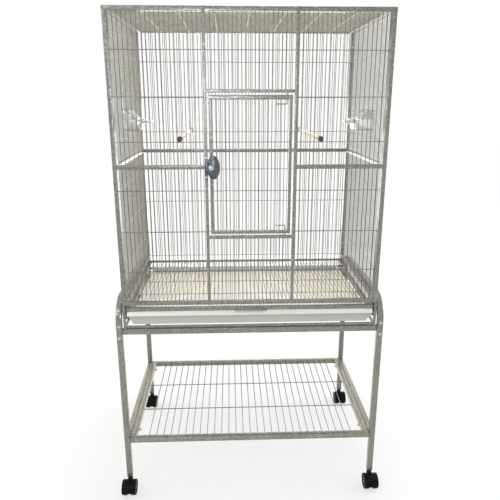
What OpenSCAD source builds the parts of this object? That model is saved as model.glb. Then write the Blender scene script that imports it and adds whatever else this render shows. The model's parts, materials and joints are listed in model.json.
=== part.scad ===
// Flight cage for small birds, on a rolling stand with a wire shelf.
// Z is up, the floor is Z 0, the front of the cage faces -Y, and the origin
// lies under the middle of the whole object's footprint.

/* [Cage] */
// Width over the side panels
cage_w = 813; // [760:1:860]
// Depth over the front and back panels
cage_d = 533; // [500:1:580]
// Height of the four wire walls
panel_h = 873; // [840:1:900]
// Side of the square tube that frames the walls
tube = 12.7; // [12.2:0.1:13.4]
// Side of the lighter square bars near the foot of the walls and in the base
bar = 8; // [7:0.1:8.4]
// How far the side and back walls reach below the front wall's foot
wall_drop = 50; // [44:1:54]
// Thickness of the tube's wall
tube_wall = 1; // [0.8:0.1:1.2]
// Height of the middle rail's centre above the walls' foot
mid_rail_z = 435; // [425:1:445]

/* [Wires] */
// Diameter of the cage wires
wire_d = 2.1; // [1.8:0.1:2.6]
// Spacing of the upright wires
wire_pitch = 12.7; // [12:0.1:14]
// Distance from the middle rail to the nearest cross wire
cross_first = 72; // [66:1:78]
// Spacing of the cross wires after the first
cross_pitch = 127; // [122:1:128]
// Height of the back wall's lowest cross wire above the front wall's foot
low_cross_z = 10; // [8:1:30]
// Spacing of the wires that run front to back under the roof
roof_cross_pitch = 101.6; // [95:0.1:110]

/* [Door] */
// Width of the door over its stiles
door_w = 242; // [225:1:260]
// Height of the door over its head and sill
door_h = 408.1; // [396:0.1:414]
// Height of the door's sill above the walls' foot
door_z = 231.6; // [228:0.2:236]
// Width of the door's stiles and sill, and of the tubes round the doorway
stile_w = 9.5; // [9:0.1:10.5]
// Height of the door's head
head_h = 12.7; // [11:0.1:14]
// Gap between the door and the tubes at its sides
door_side_gap = 5.5; // [5:0.1:7]
// Gap above and below the door
door_end_gap = 6.3; // [5:0.1:8]
// Distance from the hinge line to the door's hinged edge
hinge_inset = 16; // [13:0.5:17]
// Diameter of the hinge pins
hinge_pin_d = 3.2; // [2.8:0.1:3.4]
// Length of each hinge pin's handle
pin_handle_l = 30; // [20:1:40]
// Distance from the door's end to the hinge pin's handle
pin_handle_z = 25; // [20:1:30]

/* [Latch] */
// Height of the latch's spindle above the walls' foot
latch_z = 434.5; // [430:0.5:445]
// Width of the oval knob
knob_w = 38; // [34:1:42]
// Height of the oval knob
knob_h = 70; // [60:1:76]
// Thickness of the oval knob
knob_t = 9; // [7:0.5:12]
// How far the knob's middle lies from its spindle
knob_offset = 6; // [4:0.5:8]
// Diameter of the spindle
spindle_d = 5; // [4:0.1:5.4]
// Length of the tongue from the spindle
tongue_l = 21; // [20:0.5:22]
// Height of the keeper's raised bridge
keeper_h = 47; // [42:1:50]

/* [Base, grate and tray] */
// Height from the stand's rails to the walls' foot
base_h = 80; // [77:1:90]
// Thickness of the flat bar across the front of the base
front_bar_t = 3; // [2:0.5:8]
// Gap between the base's front bar and the stand's front rail
front_bar_gap = 4; // [0:0.5:5]
// Height of the tray's front plate
tray_h = 42; // [38:0.5:43]
// Height of the tray's sides and back
tray_side_h = 23; // [18:0.5:26]
// Thickness of the tray's sheet
tray_t = 1.2; // [1:0.1:2]
// Thickness of the bars that the tray slides on
runner_t = 9; // [8:0.5:10]
// Spacing of the grate's cross wires
grate_cross_pitch = 127; // [110:1:140]
// Width of the grate's wire pull
pull_w = 104; // [80:1:130]
// How far the tray and the grate stop short of the back
slide_rear_gap = 4; // [3:0.5:10]

/* [Perches] */
// Diameter of the wooden perches
perch_d = 12; // [10:0.5:14]
// Distance of each perch from the middle
perch_x = 208; // [195:1:230]

/* [Feed cups] */
// Width of each cup along the side wall
cup_w = 108; // [95:1:120]
// Depth of each cup at its rim
cup_d = 60; // [54:1:70]
// Height of the cup's rim
cup_rim_h = 33; // [30:1:37]
// Height of the cup and its hood together
cup_h = 61; // [54:1:70]
// Depth that the hood covers
hood_d = 38; // [30:1:42]
// Thickness of the cup's plastic
cup_t = 2; // [1.6:0.1:2.4]
// Distance from the top of each cup to the wire that it hangs on
cup_drop = 39; // [30:1:45]
// Distance of each cup's middle in front of the cage's middle
cup_forward = 88; // [40:1:120]
// Reach of the perching loop in front of the cup
loop_reach = 25; // [20:1:30]

/* [Stand] */
// Height of the stand's rails, on which the cage rests
stand_h = 610; // [560:1:680]
// Side of the stand's square tube
leg_tube = 19; // [18:0.5:20]
// Thickness of the stand tube's wall
leg_wall = 1.2; // [1:0.1:1.5]
// Gap between the cage and the side arches
arch_gap = 4; // [2:0.5:8]
// Distance from the walls' face to the legs' outer face, front and back
leg_proud = 11; // [9:0.5:14]
// Height of the side arches above the stand's rails
arch_rise = 98; // [92:1:150]
// Outer radius of the arches' bends
arch_r = 85; // [60:1:110]
// Distance from the rails' top down to the joints between the legs and arches
joint_drop = 7; // [0:1:60]
// Length of each joint's inner sleeve below the joint
sleeve_down = 50; // [40:1:80]

/* [Shelf] */
// Height of the shelf's top
shelf_top = 211; // [180:1:300]
// Side of the shelf's square tube
shelf_tube = 19; // [16:0.5:19]
// Spacing of the shelf's wires
shelf_pitch = 25; // [22:0.5:30]
// Gap between the shelf and the side rails
shelf_gap = 0.8; // [0.5:0.1:1.5]
// Distance of the shelf's bolts from the middle, front and back
shelf_bolt_y = 212; // [190:1:225]

/* [Casters] */
// Height of the legs' lower ends
caster_h = 58; // [57:0.5:66]
// Diameter of the wheels
wheel_d = 50; // [46:1:50]
// Width of each wheel
wheel_w = 17; // [14:0.5:18]
// Distance from the swivel's axis to the wheels' axle
caster_trail = 22; // [20:0.5:24]
// Diameter of the stem
stem_d = 8; // [7:0.5:8.5]
// Diameter of the axle
axle_d = 6; // [5:0.5:7]

/* [Hidden] */
$fn = 48;
wire_fn = 24;

// Running clearance, on the radius, between a pin and its hole
running = 0.05;
// Clearance between wires that cross, and depth of the welds where they are joined
wire_gap = 0.03;
weld = 0.25;
// How far a wire's end is welded into a tube's wall
bite = 0.5;
// Sliding clearance beside the tray and the grate
slide_gap = 1.5;
// Corners of round pieces that are wider than a tube
big_fn = 96;
mid_fn = 64;
// How far a hole's drill runs past a face
over = 1;

// Colours
coat = "#b2b1a8";
tray_white = "#dcd9cc";
pewter = "#5f6b7a";
bright = "#d5d8dc";
clear = "#e4ecea";
wood = "#d9c29a";
dark_cap = "#3a2c25";
black = "#1c1c1e";
zinc = "#b9bcc0";

// Distance of the hinge line behind the front wall's face
hinge_back = 5.3;

// Places shared by the pieces
half_w = cage_w / 2;
half_d = cage_d / 2;
panel_z = stand_h + base_h;
cage_top = panel_z + panel_h;
mid_z = panel_z + mid_rail_z;
wire_y = tube * 2 / 3;
cross_y = wire_y + wire_d + wire_gap;
side_l = cage_d - 2 * tube;
// Height of the side walls' light bar above the front wall's foot
side_bar_z = 3;
arch_top = stand_h + arch_rise;
joint_z = stand_h - joint_drop;
leg_x = half_w + arch_gap + leg_tube / 2;
leg_y = half_d + leg_proud - leg_tube / 2;
door_half = door_w / 2;
doorway_half = door_half + door_side_gap;
bay_x = doorway_half + stile_w;
door_bottom = panel_z + door_z;
door_top = door_bottom + door_h;
hinge_x = door_half - hinge_inset;
hinge_y = -half_d + hinge_back;
lock_x = -door_half + stile_w / 2;
lock_z = panel_z + latch_z;
tray_z = stand_h + bar + runner_t;
grate_z = tray_z + tray_h + 0.5;
wall_foot = panel_z - wall_drop;

// Heads of the screws in the legs, and the casters' hoods
leg_head_t = 2.2;
wheel_r = wheel_d / 2;
hood_gap = 0.6;
hood_t = 1.9;
hood_r = wheel_r + hood_gap + hood_t;
// The casters trail forward, so the stand's middle lies behind the origin
middle_y = (caster_trail + hood_r - leg_tube / 2 - leg_head_t) / 2;

// Heights of the cross wires above a wall's foot
cross_zs = [for (side = [-1, 1], i = [0:2]) mid_rail_z + side * (cross_first + i * cross_pitch)];
// Cross wire that carries the perches, and the one that carries the cups
perch_wire_z = panel_z + mid_rail_z + cross_first;
cup_wire_z = perch_wire_z + cross_pitch;

// Every sub-part is drawn round the middle of the stand, in its own colour
module part(colour) {
  color(colour)
    translate([0, middle_y, 0])
      children();
}

function gaps(span) = max(1, round(span / wire_pitch));
// Middle of the gap between upright wires that lies nearest to x
function gap_at(x, x0, x1) =
  let(n = gaps(x1 - x0), i = floor((x - x0) * n / (x1 - x0)))
  x0 + (x1 - x0) * (i + 0.5) / n;

// ---- Tubes and wires ----

// Closed square tube between two corners
module tube_bar(a, b, wall = tube_wall) {
  difference() {
    translate(a)
      cube(b - a);
    translate(a + [wall, wall, wall])
      cube(b - a - 2 * [wall, wall, wall]);
  }
}

// Upright wires between x0 and x1, standing from z0 to z1
module upright_wires(x0, x1, z0, z1) {
  n = gaps(x1 - x0);
  for (i = [1:n - 1])
    translate([x0 + (x1 - x0) * i / n, wire_y, z0 - bite])
      cylinder(d = wire_d, h = z1 - z0 + 2 * bite, $fn = wire_fn);
}

// Cross wire behind the upright wires
module cross_wire(x0, x1, z) {
  translate([x0 - bite, cross_y, z])
    rotate([0, 90, 0])
      cylinder(d = wire_d, h = x1 - x0 + 2 * bite, $fn = wire_fn);
}

// Light bar along a wall of width w, in line with its upright wires
module low_bar(w, z) {
  tube_bar([tube, wire_y - bar / 2, z], [w - tube, wire_y + bar / 2, z + bar]);
}

// Wall of width w with its outer face at Y 0, a middle rail and its wires.
// It reaches below the front wall's foot, which is its Z 0.
module wire_wall(w) {
  foot = -wall_drop;
  rail_lo = mid_rail_z - tube / 2;
  rail_hi = mid_rail_z + tube / 2;
  low_bar(w, foot);
  tube_bar([0, 0, panel_h - tube], [w, tube, panel_h]);
  for (x = [0, w - tube])
    tube_bar([x, 0, foot], [x + tube, tube, panel_h - tube]);
  tube_bar([tube, 0, rail_lo], [w - tube, tube, rail_hi]);
  upright_wires(tube, w - tube, foot + bar, rail_lo);
  upright_wires(tube, w - tube, rail_hi, panel_h - tube);
  for (z = cross_zs)
    cross_wire(tube, w - tube, z);
}

// ---- Front wall, in four pieces round the doorway ----

module front_bay() {
  rail_lo = mid_rail_z - tube / 2;
  rail_hi = mid_rail_z + tube / 2;
  translate([0, -half_d, panel_z]) {
    tube_bar([-half_w, 0, 0], [-bay_x, tube, tube]);
    tube_bar([-half_w, 0, panel_h - tube], [-bay_x, tube, panel_h]);
    tube_bar([-half_w, 0, tube], [-half_w + tube, tube, panel_h - tube]);
    tube_bar([-bay_x, 0, 0], [-doorway_half, tube, panel_h]);
    tube_bar([-half_w + tube, 0, rail_lo], [-bay_x, tube, rail_hi]);
    upright_wires(-half_w + tube, -bay_x, tube, rail_lo);
    upright_wires(-half_w + tube, -bay_x, rail_hi, panel_h - tube);
    for (z = cross_zs)
      cross_wire(-half_w + tube, -bay_x, z);
  }
}

module front_left_bay() {
  part(coat)
    difference() {
      front_bay();
      wall_bolt_holes();
      roof_bolt_holes();
      keeper_screw_holes();
    }
}

module front_right_bay() {
  part(coat)
    difference() {
      mirror([1, 0, 0])
        front_bay();
      wall_bolt_holes();
      roof_bolt_holes();
    }
}

module front_over_door() {
  bar_z = door_z + door_h + door_end_gap;
  part(coat)
    difference() {
      translate([0, -half_d, panel_z]) {
        tube_bar([-doorway_half, 0, panel_h - tube], [doorway_half, tube, panel_h]);
        tube_bar([-doorway_half, 0, bar_z], [doorway_half, tube, bar_z + stile_w]);
        upright_wires(-doorway_half, doorway_half, bar_z + stile_w, panel_h - tube);
        for (z = cross_zs)
          if (z > bar_z + 2 * stile_w)
            doorway_wire(z);
      }
      hinge_hole();
    }
}

module front_under_door() {
  bar_z = door_z - door_end_gap - stile_w;
  part(coat)
    difference() {
      translate([0, -half_d, panel_z]) {
        tube_bar([-doorway_half, 0, 0], [doorway_half, tube, tube]);
        tube_bar([-doorway_half, 0, bar_z], [doorway_half, tube, bar_z + stile_w]);
        upright_wires(-doorway_half, doorway_half, tube, bar_z);
        for (z = cross_zs)
          if (z < bar_z - stile_w)
            doorway_wire(z);
      }
      hinge_hole();
    }
}

// Above and below the door a cross wire is welded to the upright wires
module doorway_wire(z) {
  translate([-doorway_half, cross_y - wire_gap - weld, z])
    rotate([0, 90, 0])
      cylinder(d = wire_d, h = 2 * doorway_half, $fn = wire_fn);
}

// ---- Other walls and the roof ----

module back_panel() {
  part(coat)
    difference() {
      rotate([0, 0, 180])
        translate([-half_w, -half_d, panel_z]) {
          wire_wall(cage_w);
          cross_wire(tube, cage_w - tube, low_cross_z);
        }
      wall_bolt_holes();
      roof_bolt_holes();
    }
}

module side_panel(side) {
  part(coat)
    difference() {
      rotate([0, 0, 90 * side])
        translate([-side_l / 2, -half_w, panel_z]) {
          wire_wall(side_l);
          low_bar(side_l, side_bar_z);
        }
      wall_bolt_holes();
      foot_bolt_holes();
    }
}

module left_panel() {
  side_panel(-1);
}

module right_panel() {
  side_panel(1);
}

// The roof's wires run from side to side, with a few from front to back under them
module roof_panel() {
  roof_w = cage_w - 2 * tube;
  n = floor((roof_w / 2 - tube) / roof_cross_pitch);
  part(coat)
    difference() {
      translate([0, 0, cage_top]) {
        for (y = [-side_l / 2, side_l / 2 - tube])
          tube_bar([-roof_w / 2, y, -tube], [roof_w / 2, y + tube, 0]);
        for (x = [-roof_w / 2, roof_w / 2 - tube])
          tube_bar([x, -side_l / 2 + tube, -tube], [x + tube, side_l / 2 - tube, 0]);
        for (i = [1:gaps(side_l - 2 * tube) - 1])
          translate([-roof_w / 2 + tube - bite, roof_wire_y(i), -wire_y])
            rotate([0, 90, 0])
              cylinder(d = wire_d, h = roof_w - 2 * tube + 2 * bite, $fn = wire_fn);
        for (i = [-n:n])
          translate([i * roof_cross_pitch, -side_l / 2 + tube - bite, -cross_y])
            rotate([-90, 0, 0])
              cylinder(d = wire_d, h = side_l - 2 * tube + 2 * bite, $fn = wire_fn);
      }
      roof_bolt_holes();
    }
}

function roof_wire_y(i) =
  -side_l / 2 + tube + (side_l - 2 * tube) * i / gaps(side_l - 2 * tube);

// ---- Bolts that join the walls ----

bolt_d = 5;
bolt_head_d = 9;
bolt_head_t = 3;
// The shank stops in the middle of the tube that it enters
bolt_l = 3 * tube / 2;
// The bolts' distance from the ends of the walls, and above the middle rail
bolt_end_z = 60;
bolt_mid_z = 30;
wall_bolt_zs = [bolt_end_z, mid_rail_z + bolt_mid_z, panel_h - bolt_end_z];
roof_bolt_x = half_w - 90;
foot_bolt_y = gap_at(half_d - 90, -side_l / 2 + tube, side_l / 2 - tube);

// Places of the bolts through the side walls' end tubes, pointing forward
module at_wall_bolts() {
  for (x = [-1, 1], turn = [0, 180], z = wall_bolt_zs)
    rotate([0, 0, turn])
      translate([x * (half_w - tube / 2), -side_l / 2 + tube, panel_z + z])
        rotate([90, 0, 0])
          children();
}

module at_roof_bolts() {
  for (x = [-1, 1], turn = [0, 180])
    rotate([0, 0, turn])
      translate([x * roof_bolt_x, -side_l / 2 + tube, cage_top - tube / 2])
        rotate([90, 0, 0])
          children();
}

// Places of the bolts down through the side walls' foot, between two wires
module at_foot_bolts() {
  for (x = [-1, 1], y = [-1, 1])
    translate([x * (half_w - wire_y), y * foot_bolt_y, wall_foot + bar])
      mirror([0, 0, 1])
        children();
}

module bolt_hole() {
  slack = 0.1;
  translate([0, 0, -slack])
    cylinder(d = bolt_d + 2 * running, h = bolt_l + 2 * slack);
}

module bolt() {
  cylinder(d = bolt_d, h = bolt_l);
  translate([0, 0, -bolt_head_t])
    cylinder(d = bolt_head_d, h = bolt_head_t);
}

module wall_bolt_holes() {
  at_wall_bolts()
    bolt_hole();
}

module roof_bolt_holes() {
  at_roof_bolts()
    bolt_hole();
}

module foot_bolt_holes() {
  at_foot_bolts()
    bolt_hole();
}

module panel_bolts() {
  part(zinc) {
    at_wall_bolts()
      bolt();
    at_roof_bolts()
      bolt();
    at_foot_bolts()
      bolt();
  }
}

// ---- Base frame ----

// Side of the base: bottom bar, front and back corner posts, and two posts
// under the side wall's foot
module base_side() {
  foot = stand_h;
  tube_bar([-half_w, -half_d, foot], [-half_w + bar, half_d, foot + bar]);
  tube_bar([-half_w, -half_d, foot + bar], [-half_w + bar, -half_d + bar, panel_z]);
  tube_bar([-half_w, half_d - tube, foot + bar], [-half_w + tube, half_d, wall_foot]);
  for (y = [-foot_bolt_y, foot_bolt_y])
    tube_bar([-half_w, y - tube / 2, foot + bar], [-half_w + tube, y + tube / 2, wall_foot]);
}

module base_left() {
  part(coat)
    difference() {
      base_side();
      foot_bolt_holes();
    }
}

module base_right() {
  part(coat)
    difference() {
      mirror([1, 0, 0])
        base_side();
      foot_bolt_holes();
    }
}

module base_front_rail() {
  inner = half_w - bar;
  part(coat)
    translate([-inner, -half_d, stand_h + front_bar_gap])
      cube([2 * inner, front_bar_t, bar]);
}

module base_back() {
  inner = half_w - bar;
  part(coat)
    tube_bar([-inner, half_d - bar, stand_h], [inner, half_d, stand_h + bar]);
}

runner_w = 15;
runner_y = 200;

// Bars under the tray, laid across the base's bottom bars
module tray_runners() {
  half = half_w - bar / 2;
  part(coat)
    for (y = [-runner_y, 0, runner_y])
      translate([-half, y - runner_w / 2, stand_h + bar])
        tube_bar([0, 0, 0], [2 * half, runner_w, runner_t]);
}

// Angles that the grate slides on, held by the side walls' end tubes
module grate_runners() {
  ledge = 8;
  drop = 16;
  t = 2;
  l = side_l - 1;
  part(coat)
    for (side = [0, 1])
      mirror([side, 0, 0])
        translate([half_w - tube, -l / 2, grate_z + grate_rod_z]) {
          translate([-ledge, 0, -t])
            cube([ledge, l, t]);
          translate([-t, 0, -drop])
            cube([t, l, drop]);
        }
}

// ---- Tray and grate ----

tray_front_half = half_w - tube - slide_gap;
tray_taper = 18;
// How far the tray's body stands back from the ends of its front plate
tray_step = 12;
tray_body_half = tray_front_half - tray_step;
tray_lip_h = 13;
tray_lip_d = 8;

// Solid shape of the tray's body; its sides lean out towards the rim
module tray_body(inset, floor_t) {
  lean = 5;
  half = tray_body_half - inset;
  front = -half_d + inset;
  back = half_d - tube - slide_rear_gap - inset;
  h = tray_side_h + 1;
  translate([0, front, floor_t])
    rotate([90, 0, 0])
      mirror([0, 0, 1])
        linear_extrude(back - front)
          polygon([[-half + lean, 0], [half - lean, 0], [half, h], [-half, h]]);
}

module tray() {
  part(tray_white)
    translate([0, 0, tray_z]) {
      difference() {
        intersection() {
          tray_body(0, 0);
          translate([-cage_w, -cage_d, 0])
            cube([2 * cage_w, 2 * cage_d, tray_side_h]);
        }
        tray_body(tray_t, tray_t);
      }
      // Front plate, wider than the body and tapered at its ends
      translate([0, -half_d + tray_t, 0])
        rotate([90, 0, 0])
          linear_extrude(tray_t)
            polygon([
              [-tray_front_half + tray_taper, 0], [tray_front_half - tray_taper, 0],
              [tray_front_half, tray_h - tray_lip_h], [tray_front_half, tray_h],
              [-tray_front_half, tray_h], [-tray_front_half, tray_h - tray_lip_h]
            ]);
      // Sloped pull lip along the top of the front plate
      translate([-tray_front_half, -half_d, tray_h])
        rotate([90, 0, 90])
          linear_extrude(2 * tray_front_half)
            polygon([
              [tray_t, 0], [0, 0], [-tray_lip_d, 2 - tray_lip_h],
              [-tray_lip_d, -tray_lip_h], [0, -tray_lip_h], [tray_t, -tray_lip_h]
            ]);
    }
}

grate_half = half_w - tube - slide_gap;
grate_back = half_d - tube - slide_rear_gap;
// Side rods of the grate, and how high they lie above its front bar's foot
grate_rod = 4;
grate_rod_z = 4;
grate_wire_z = grate_rod_z + grate_rod - 0.5;

module floor_grate() {
  x0 = -grate_half + grate_rod;
  x1 = grate_half - grate_rod;
  y0 = -half_d + tube;
  y1 = grate_back - bar;
  n = gaps(x1 - x0);
  part(coat)
    translate([0, 0, grate_z]) {
      tube_bar([-grate_half, -half_d, 0], [grate_half, y0, tube]);
      for (x = [-grate_half, x1])
        translate([x, y0, grate_rod_z])
          cube([grate_rod, y1 - y0, grate_rod]);
      tube_bar([-grate_half, y1, grate_rod_z], [grate_half, grate_back, grate_rod_z + bar]);
      for (i = [1:n - 1])
        translate([x0 + (x1 - x0) * i / n, y0 - bite, grate_wire_z])
          rotate([-90, 0, 0])
            cylinder(d = wire_d, h = y1 - y0 + 2 * bite, $fn = wire_fn);
      for (y = [y0 + grate_cross_pitch:grate_cross_pitch:y1 - wire_pitch])
        translate([x0 - bite, y, grate_wire_z - wire_d - wire_gap])
          rotate([0, 90, 0])
            cylinder(d = wire_d, h = x1 - x0 + 2 * bite, $fn = wire_fn);
    }
}

// Wire pull under the grate's front bar
module grate_pull() {
  reach = 9;
  rod_d = 3;
  above = 0.8;
  z = grate_z + above + rod_d / 2;
  part(coat) {
    for (x = [-1, 1])
      translate([x * (pull_w - rod_d) / 2, -half_d, z])
        rotate([90, 0, 0])
          cylinder(d = rod_d, h = reach, $fn = wire_fn);
    translate([-(pull_w - rod_d) / 2, -half_d - reach, z])
      rotate([0, 90, 0])
        cylinder(d = rod_d, h = pull_w - rod_d, $fn = wire_fn);
    for (x = [-1, 1])
      translate([x * (pull_w - rod_d) / 2, -half_d - reach, z])
        sphere(d = rod_d, $fn = wire_fn);
  }
}

// ---- Door, hinge pins and latch ----

// Upright hole for a hinge pin, through whatever lies on the hinge line
module hinge_hole() {
  reach = door_end_gap + stile_w - tube_wall;
  translate([hinge_x, hinge_y, door_bottom - reach])
    cylinder(d = hinge_pin_d + 2 * running, h = door_h + 2 * reach);
}

module door() {
  stile_in = door_half - stile_w;
  part(coat)
    difference() {
      translate([0, -half_d, door_bottom]) {
        tube_bar([-door_half, 0, 0], [door_half, tube, stile_w]);
        tube_bar([-door_half, 0, door_h - head_h], [door_half, tube, door_h]);
        for (x = [-door_half, stile_in])
          tube_bar([x, 0, stile_w], [x + stile_w, tube, door_h - head_h]);
        upright_wires(-stile_in, stile_in, stile_w, door_h - head_h);
        for (z = cross_zs)
          if (z > door_z + 2 * stile_w && z < door_z + door_h - 2 * head_h)
            cross_wire(-stile_in, stile_in, z - door_z);
      }
      for (z = [door_bottom, door_top - head_h])
        translate([hinge_x, hinge_y, z - 1])
          cylinder(d = hinge_pin_d + 2 * running, h = head_h + 2);
      translate([lock_x, -half_d - 1, lock_z])
        rotate([-90, 0, 0])
          cylinder(d = spindle_d + 2 * running, h = tube + 2);
    }
}

// Pin with a bent handle: it stands in the door's end tube and the tube beyond it
module hinge_pin() {
  up = pin_handle_z + door_end_gap + stile_w - 2 * tube_wall;
  cylinder(d = hinge_pin_d, h = up, $fn = wire_fn);
  sphere(d = hinge_pin_d, $fn = wire_fn);
  rotate([0, -90, 0])
    cylinder(d = hinge_pin_d, h = pin_handle_l, $fn = wire_fn);
}

module hinge_pin_top() {
  part(coat)
    translate([hinge_x, hinge_y, door_top - pin_handle_z])
      hinge_pin();
}

module hinge_pin_bottom() {
  part(coat)
    translate([hinge_x, hinge_y, door_bottom + pin_handle_z])
      mirror([0, 0, 1])
        hinge_pin();
}

// Places in front of the door's face, from the tube outwards
tongue_y = -half_d - 1;
tongue_t = 2;
bridge_y = tongue_y - tongue_t - 1;
bridge_t = 1.5;
knob_gap = 0.8;
knob_y = bridge_y - bridge_t - knob_gap;
// How much each step of the knob's crown narrows it
knob_step = 1.2;
nut_d = 16;
nut_h = 7;
spindle_head_d = 8.8;
spindle_head_t = 2.3;
// How far the spindle runs into its nut, and how far its head stands behind the door
spindle_in = 2.8;
spindle_back = 2.5;
tongue_hub_d = 14;

// Ellipse of the knob's outline, drawn out to a depth
module knob_plate(w, h, t) {
  linear_extrude(t)
    scale([w / h, 1])
      circle(d = h, $fn = mid_fn);
}

// The steps follow the knob's crown
module latch_knob() {
  steps = 4;
  part(pewter)
    translate([lock_x, knob_y, lock_z])
      rotate([90, 0, 0])
        difference() {
          translate([knob_offset, 0, 0])
            for (i = [0:steps - 1])
              translate([0, 0, i * knob_t / steps])
                knob_plate(knob_w - i * i * knob_step, knob_h - i * i * knob_step, knob_t / steps);
          translate([0, 0, -1])
            cylinder(d = spindle_d + 2 * running, h = knob_t + 2);
        }
}

// Domed nut on the spindle's front end
module latch_nut() {
  part(bright)
    translate([lock_x, knob_y - knob_t, lock_z])
      rotate([90, 0, 0])
        difference() {
          rotate_extrude()
            polygon(concat(
              [[0, 0], [nut_d / 2, 0]],
              [for (a = [0:15:90]) [nut_d / 2 * cos(a), 1 + (nut_h - 1) * sin(a)]]
            ));
          translate([0, 0, -1])
            cylinder(d = spindle_d + 2 * running, h = spindle_in + over + 0.2);
        }
}

module latch_spindle() {
  start = -half_d + tube + spindle_back;
  part(zinc)
    translate([lock_x, start, lock_z])
      rotate([90, 0, 0]) {
        cylinder(d = spindle_d, h = start - knob_y + knob_t + spindle_in);
        cylinder(d = spindle_head_d, h = spindle_head_t);
      }
}

// Tongue that turns behind the keeper's bridge; it points up when the latch is open
module latch_tongue() {
  w = 9;
  part(pewter)
    translate([lock_x, tongue_y, lock_z])
      rotate([90, 0, 0])
        difference() {
          union() {
            cylinder(d = tongue_hub_d, h = tongue_t);
            translate([-w / 2, 0, 0])
              cube([w, tongue_l, tongue_t]);
          }
          translate([0, 0, -1])
            cylinder(d = spindle_d + 2 * running, h = tongue_t + 2);
        }
}

// Hat-shaped strap on the tube beside the doorway
keeper_w = stile_w;
keeper_x = -bay_x;
flange_h = 11;
screw_d = 3.5;
screw_l = 7;
screw_head_d = 7;
screw_head_t = 1.8;

module keeper() {
  inner = keeper_h - 2 * bridge_t;
  part(pewter)
    translate([keeper_x, -half_d, lock_z])
      difference() {
        union() {
          translate([0, bridge_y - bridge_t + half_d, -keeper_h / 2])
            cube([keeper_w, -half_d - bridge_y + bridge_t, keeper_h]);
          translate([0, -bridge_t, -keeper_h / 2 - flange_h])
            cube([keeper_w, bridge_t, keeper_h + 2 * flange_h]);
        }
        translate([-1, bridge_y + half_d, -inner / 2])
          cube([keeper_w + 2, -half_d - bridge_y + 1, inner]);
        for (z = keeper_screw_z)
          translate([keeper_w / 2, 1, z])
            rotate([90, 0, 0])
              cylinder(d = screw_d + 2 * running, h = screw_l);
      }
}

keeper_screw_z = [-(keeper_h + flange_h) / 2, (keeper_h + flange_h) / 2];

module at_keeper_screws() {
  for (z = keeper_screw_z)
    translate([keeper_x + keeper_w / 2, -half_d - bridge_t, lock_z + z])
      rotate([-90, 0, 0])
        children();
}

module keeper_screw_holes() {
  at_keeper_screws()
    cylinder(d = screw_d + 2 * running, h = screw_l + over);
}

module keeper_screws() {
  part(zinc)
    at_keeper_screws() {
      cylinder(d = screw_d, h = screw_l);
      translate([0, 0, -screw_head_t])
        cylinder(d1 = screw_head_d - 2, d2 = screw_head_d, h = screw_head_t);
    }
}

// ---- Perches ----

cap_l = 12;
cap_t = 2;
cap_gap = 0.3;
cap_face = half_d - tube - cap_gap;
// Height of the perches' middle above the cross wires
perch_up = 8;
perch_z = perch_wire_z + perch_up;
// How far the caps' noses reach past the upright wires' middle
nose_past = 2.4;
perch_half = cap_face - cap_t;
nose_w = 5;
nose_h = 11;

// The caps' noses stand in the gaps between upright wires, in the front and back walls
function nose_front() = gap_at(-perch_x, -half_w + tube, -bay_x);
function nose_back() = gap_at(-perch_x, -half_w + tube, half_w - tube);
perch_axis = (nose_front() + nose_back()) / 2;

module perch() {
  translate([perch_axis, perch_half, perch_z])
    rotate([90, 0, 0])
      cylinder(d = perch_d, h = 2 * perch_half);
}

module perch_left() {
  part(wood)
    perch();
}

module perch_right() {
  part(wood)
    mirror([1, 0, 0])
      perch();
}

// Cap over the perch's end, with a notched nose that sits on the cross wire
module perch_cap(nose_x) {
  wire = half_d - cross_y;
  nose_end = half_d - wire_y + nose_past;
  slot = wire_d + 2 * running;
  difference() {
    union() {
      translate([perch_axis, cap_face, perch_z])
        rotate([90, 0, 0])
          cylinder(d = perch_d + 2 * cap_t, h = cap_l);
      translate([nose_x - nose_w / 2, cap_face - cap_t, perch_z + perch_d / 2 - 1 - nose_h])
        cube([nose_w, nose_end - cap_face + cap_t, nose_h]);
    }
    translate([perch_axis, perch_half, perch_z])
      rotate([90, 0, 0])
        cylinder(d = perch_d + 2 * running, h = cap_l);
    translate([nose_x - nose_w, wire - slot / 2, perch_wire_z - nose_h])
      cube([2 * nose_w, slot, nose_h]);
    translate([nose_x - nose_w, wire, perch_wire_z])
      rotate([0, 90, 0])
        cylinder(d = slot, h = 2 * nose_w, $fn = wire_fn);
  }
}

module perch_caps() {
  part(dark_cap)
    for (side = [0, 1])
      mirror([side, 0, 0]) {
        perch_cap(nose_back());
        mirror([0, 1, 0])
          perch_cap(nose_front());
      }
}

// ---- Feed cups ----

cup_back = half_w - tube - 1;
cup_floor = cup_wire_z - cup_drop - cup_h;
cup_y = -cup_forward;
cup_lean = 8;
hood_flat = 15;
hood_front_h = 3;
hook_w = 4;
hook_t = 1.8;
hook_span = 5;
loop_w = 62;
loop_h = 7;
loop_bar = 5;
// Distance of the loop below the cup's rim
loop_drop = 4;
// Height of the hooks' lips, and of their roots on the back plate
lip_h = 6;
lip_gap = 0.2;

// Section of the bowl's outside, in depth from the wall and height; it goes on past the rim
function bowl_outline(i) =
  let(lean = cup_lean / cup_rim_h)
  [[i, i], [cup_d - cup_lean - i, i], [cup_d - i + lean, cup_rim_h + 1], [i, cup_rim_h + 1]];

// Cup on the right wall; the left one is its mirror image
module cup() {
  translate([cup_back, cup_y + cup_w / 2, cup_floor]) {
    difference() {
      rotate([90, 0, 0])
        linear_extrude(cup_w)
          mirror([1, 0])
            intersection() {
              polygon(bowl_outline(0));
              square([cup_d, cup_rim_h]);
            }
      translate([0, -cup_t, 0])
        rotate([90, 0, 0])
          linear_extrude(cup_w - 2 * cup_t)
            mirror([1, 0])
              polygon(bowl_outline(cup_t));
    }
    // Back plate, up to the top of the hood
    translate([-cup_t, -cup_w, 0])
      cube([cup_t, cup_w, cup_h]);
    cup_loop();
  }
  for (i = [-1, 1])
    cup_hook(i);
}

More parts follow.
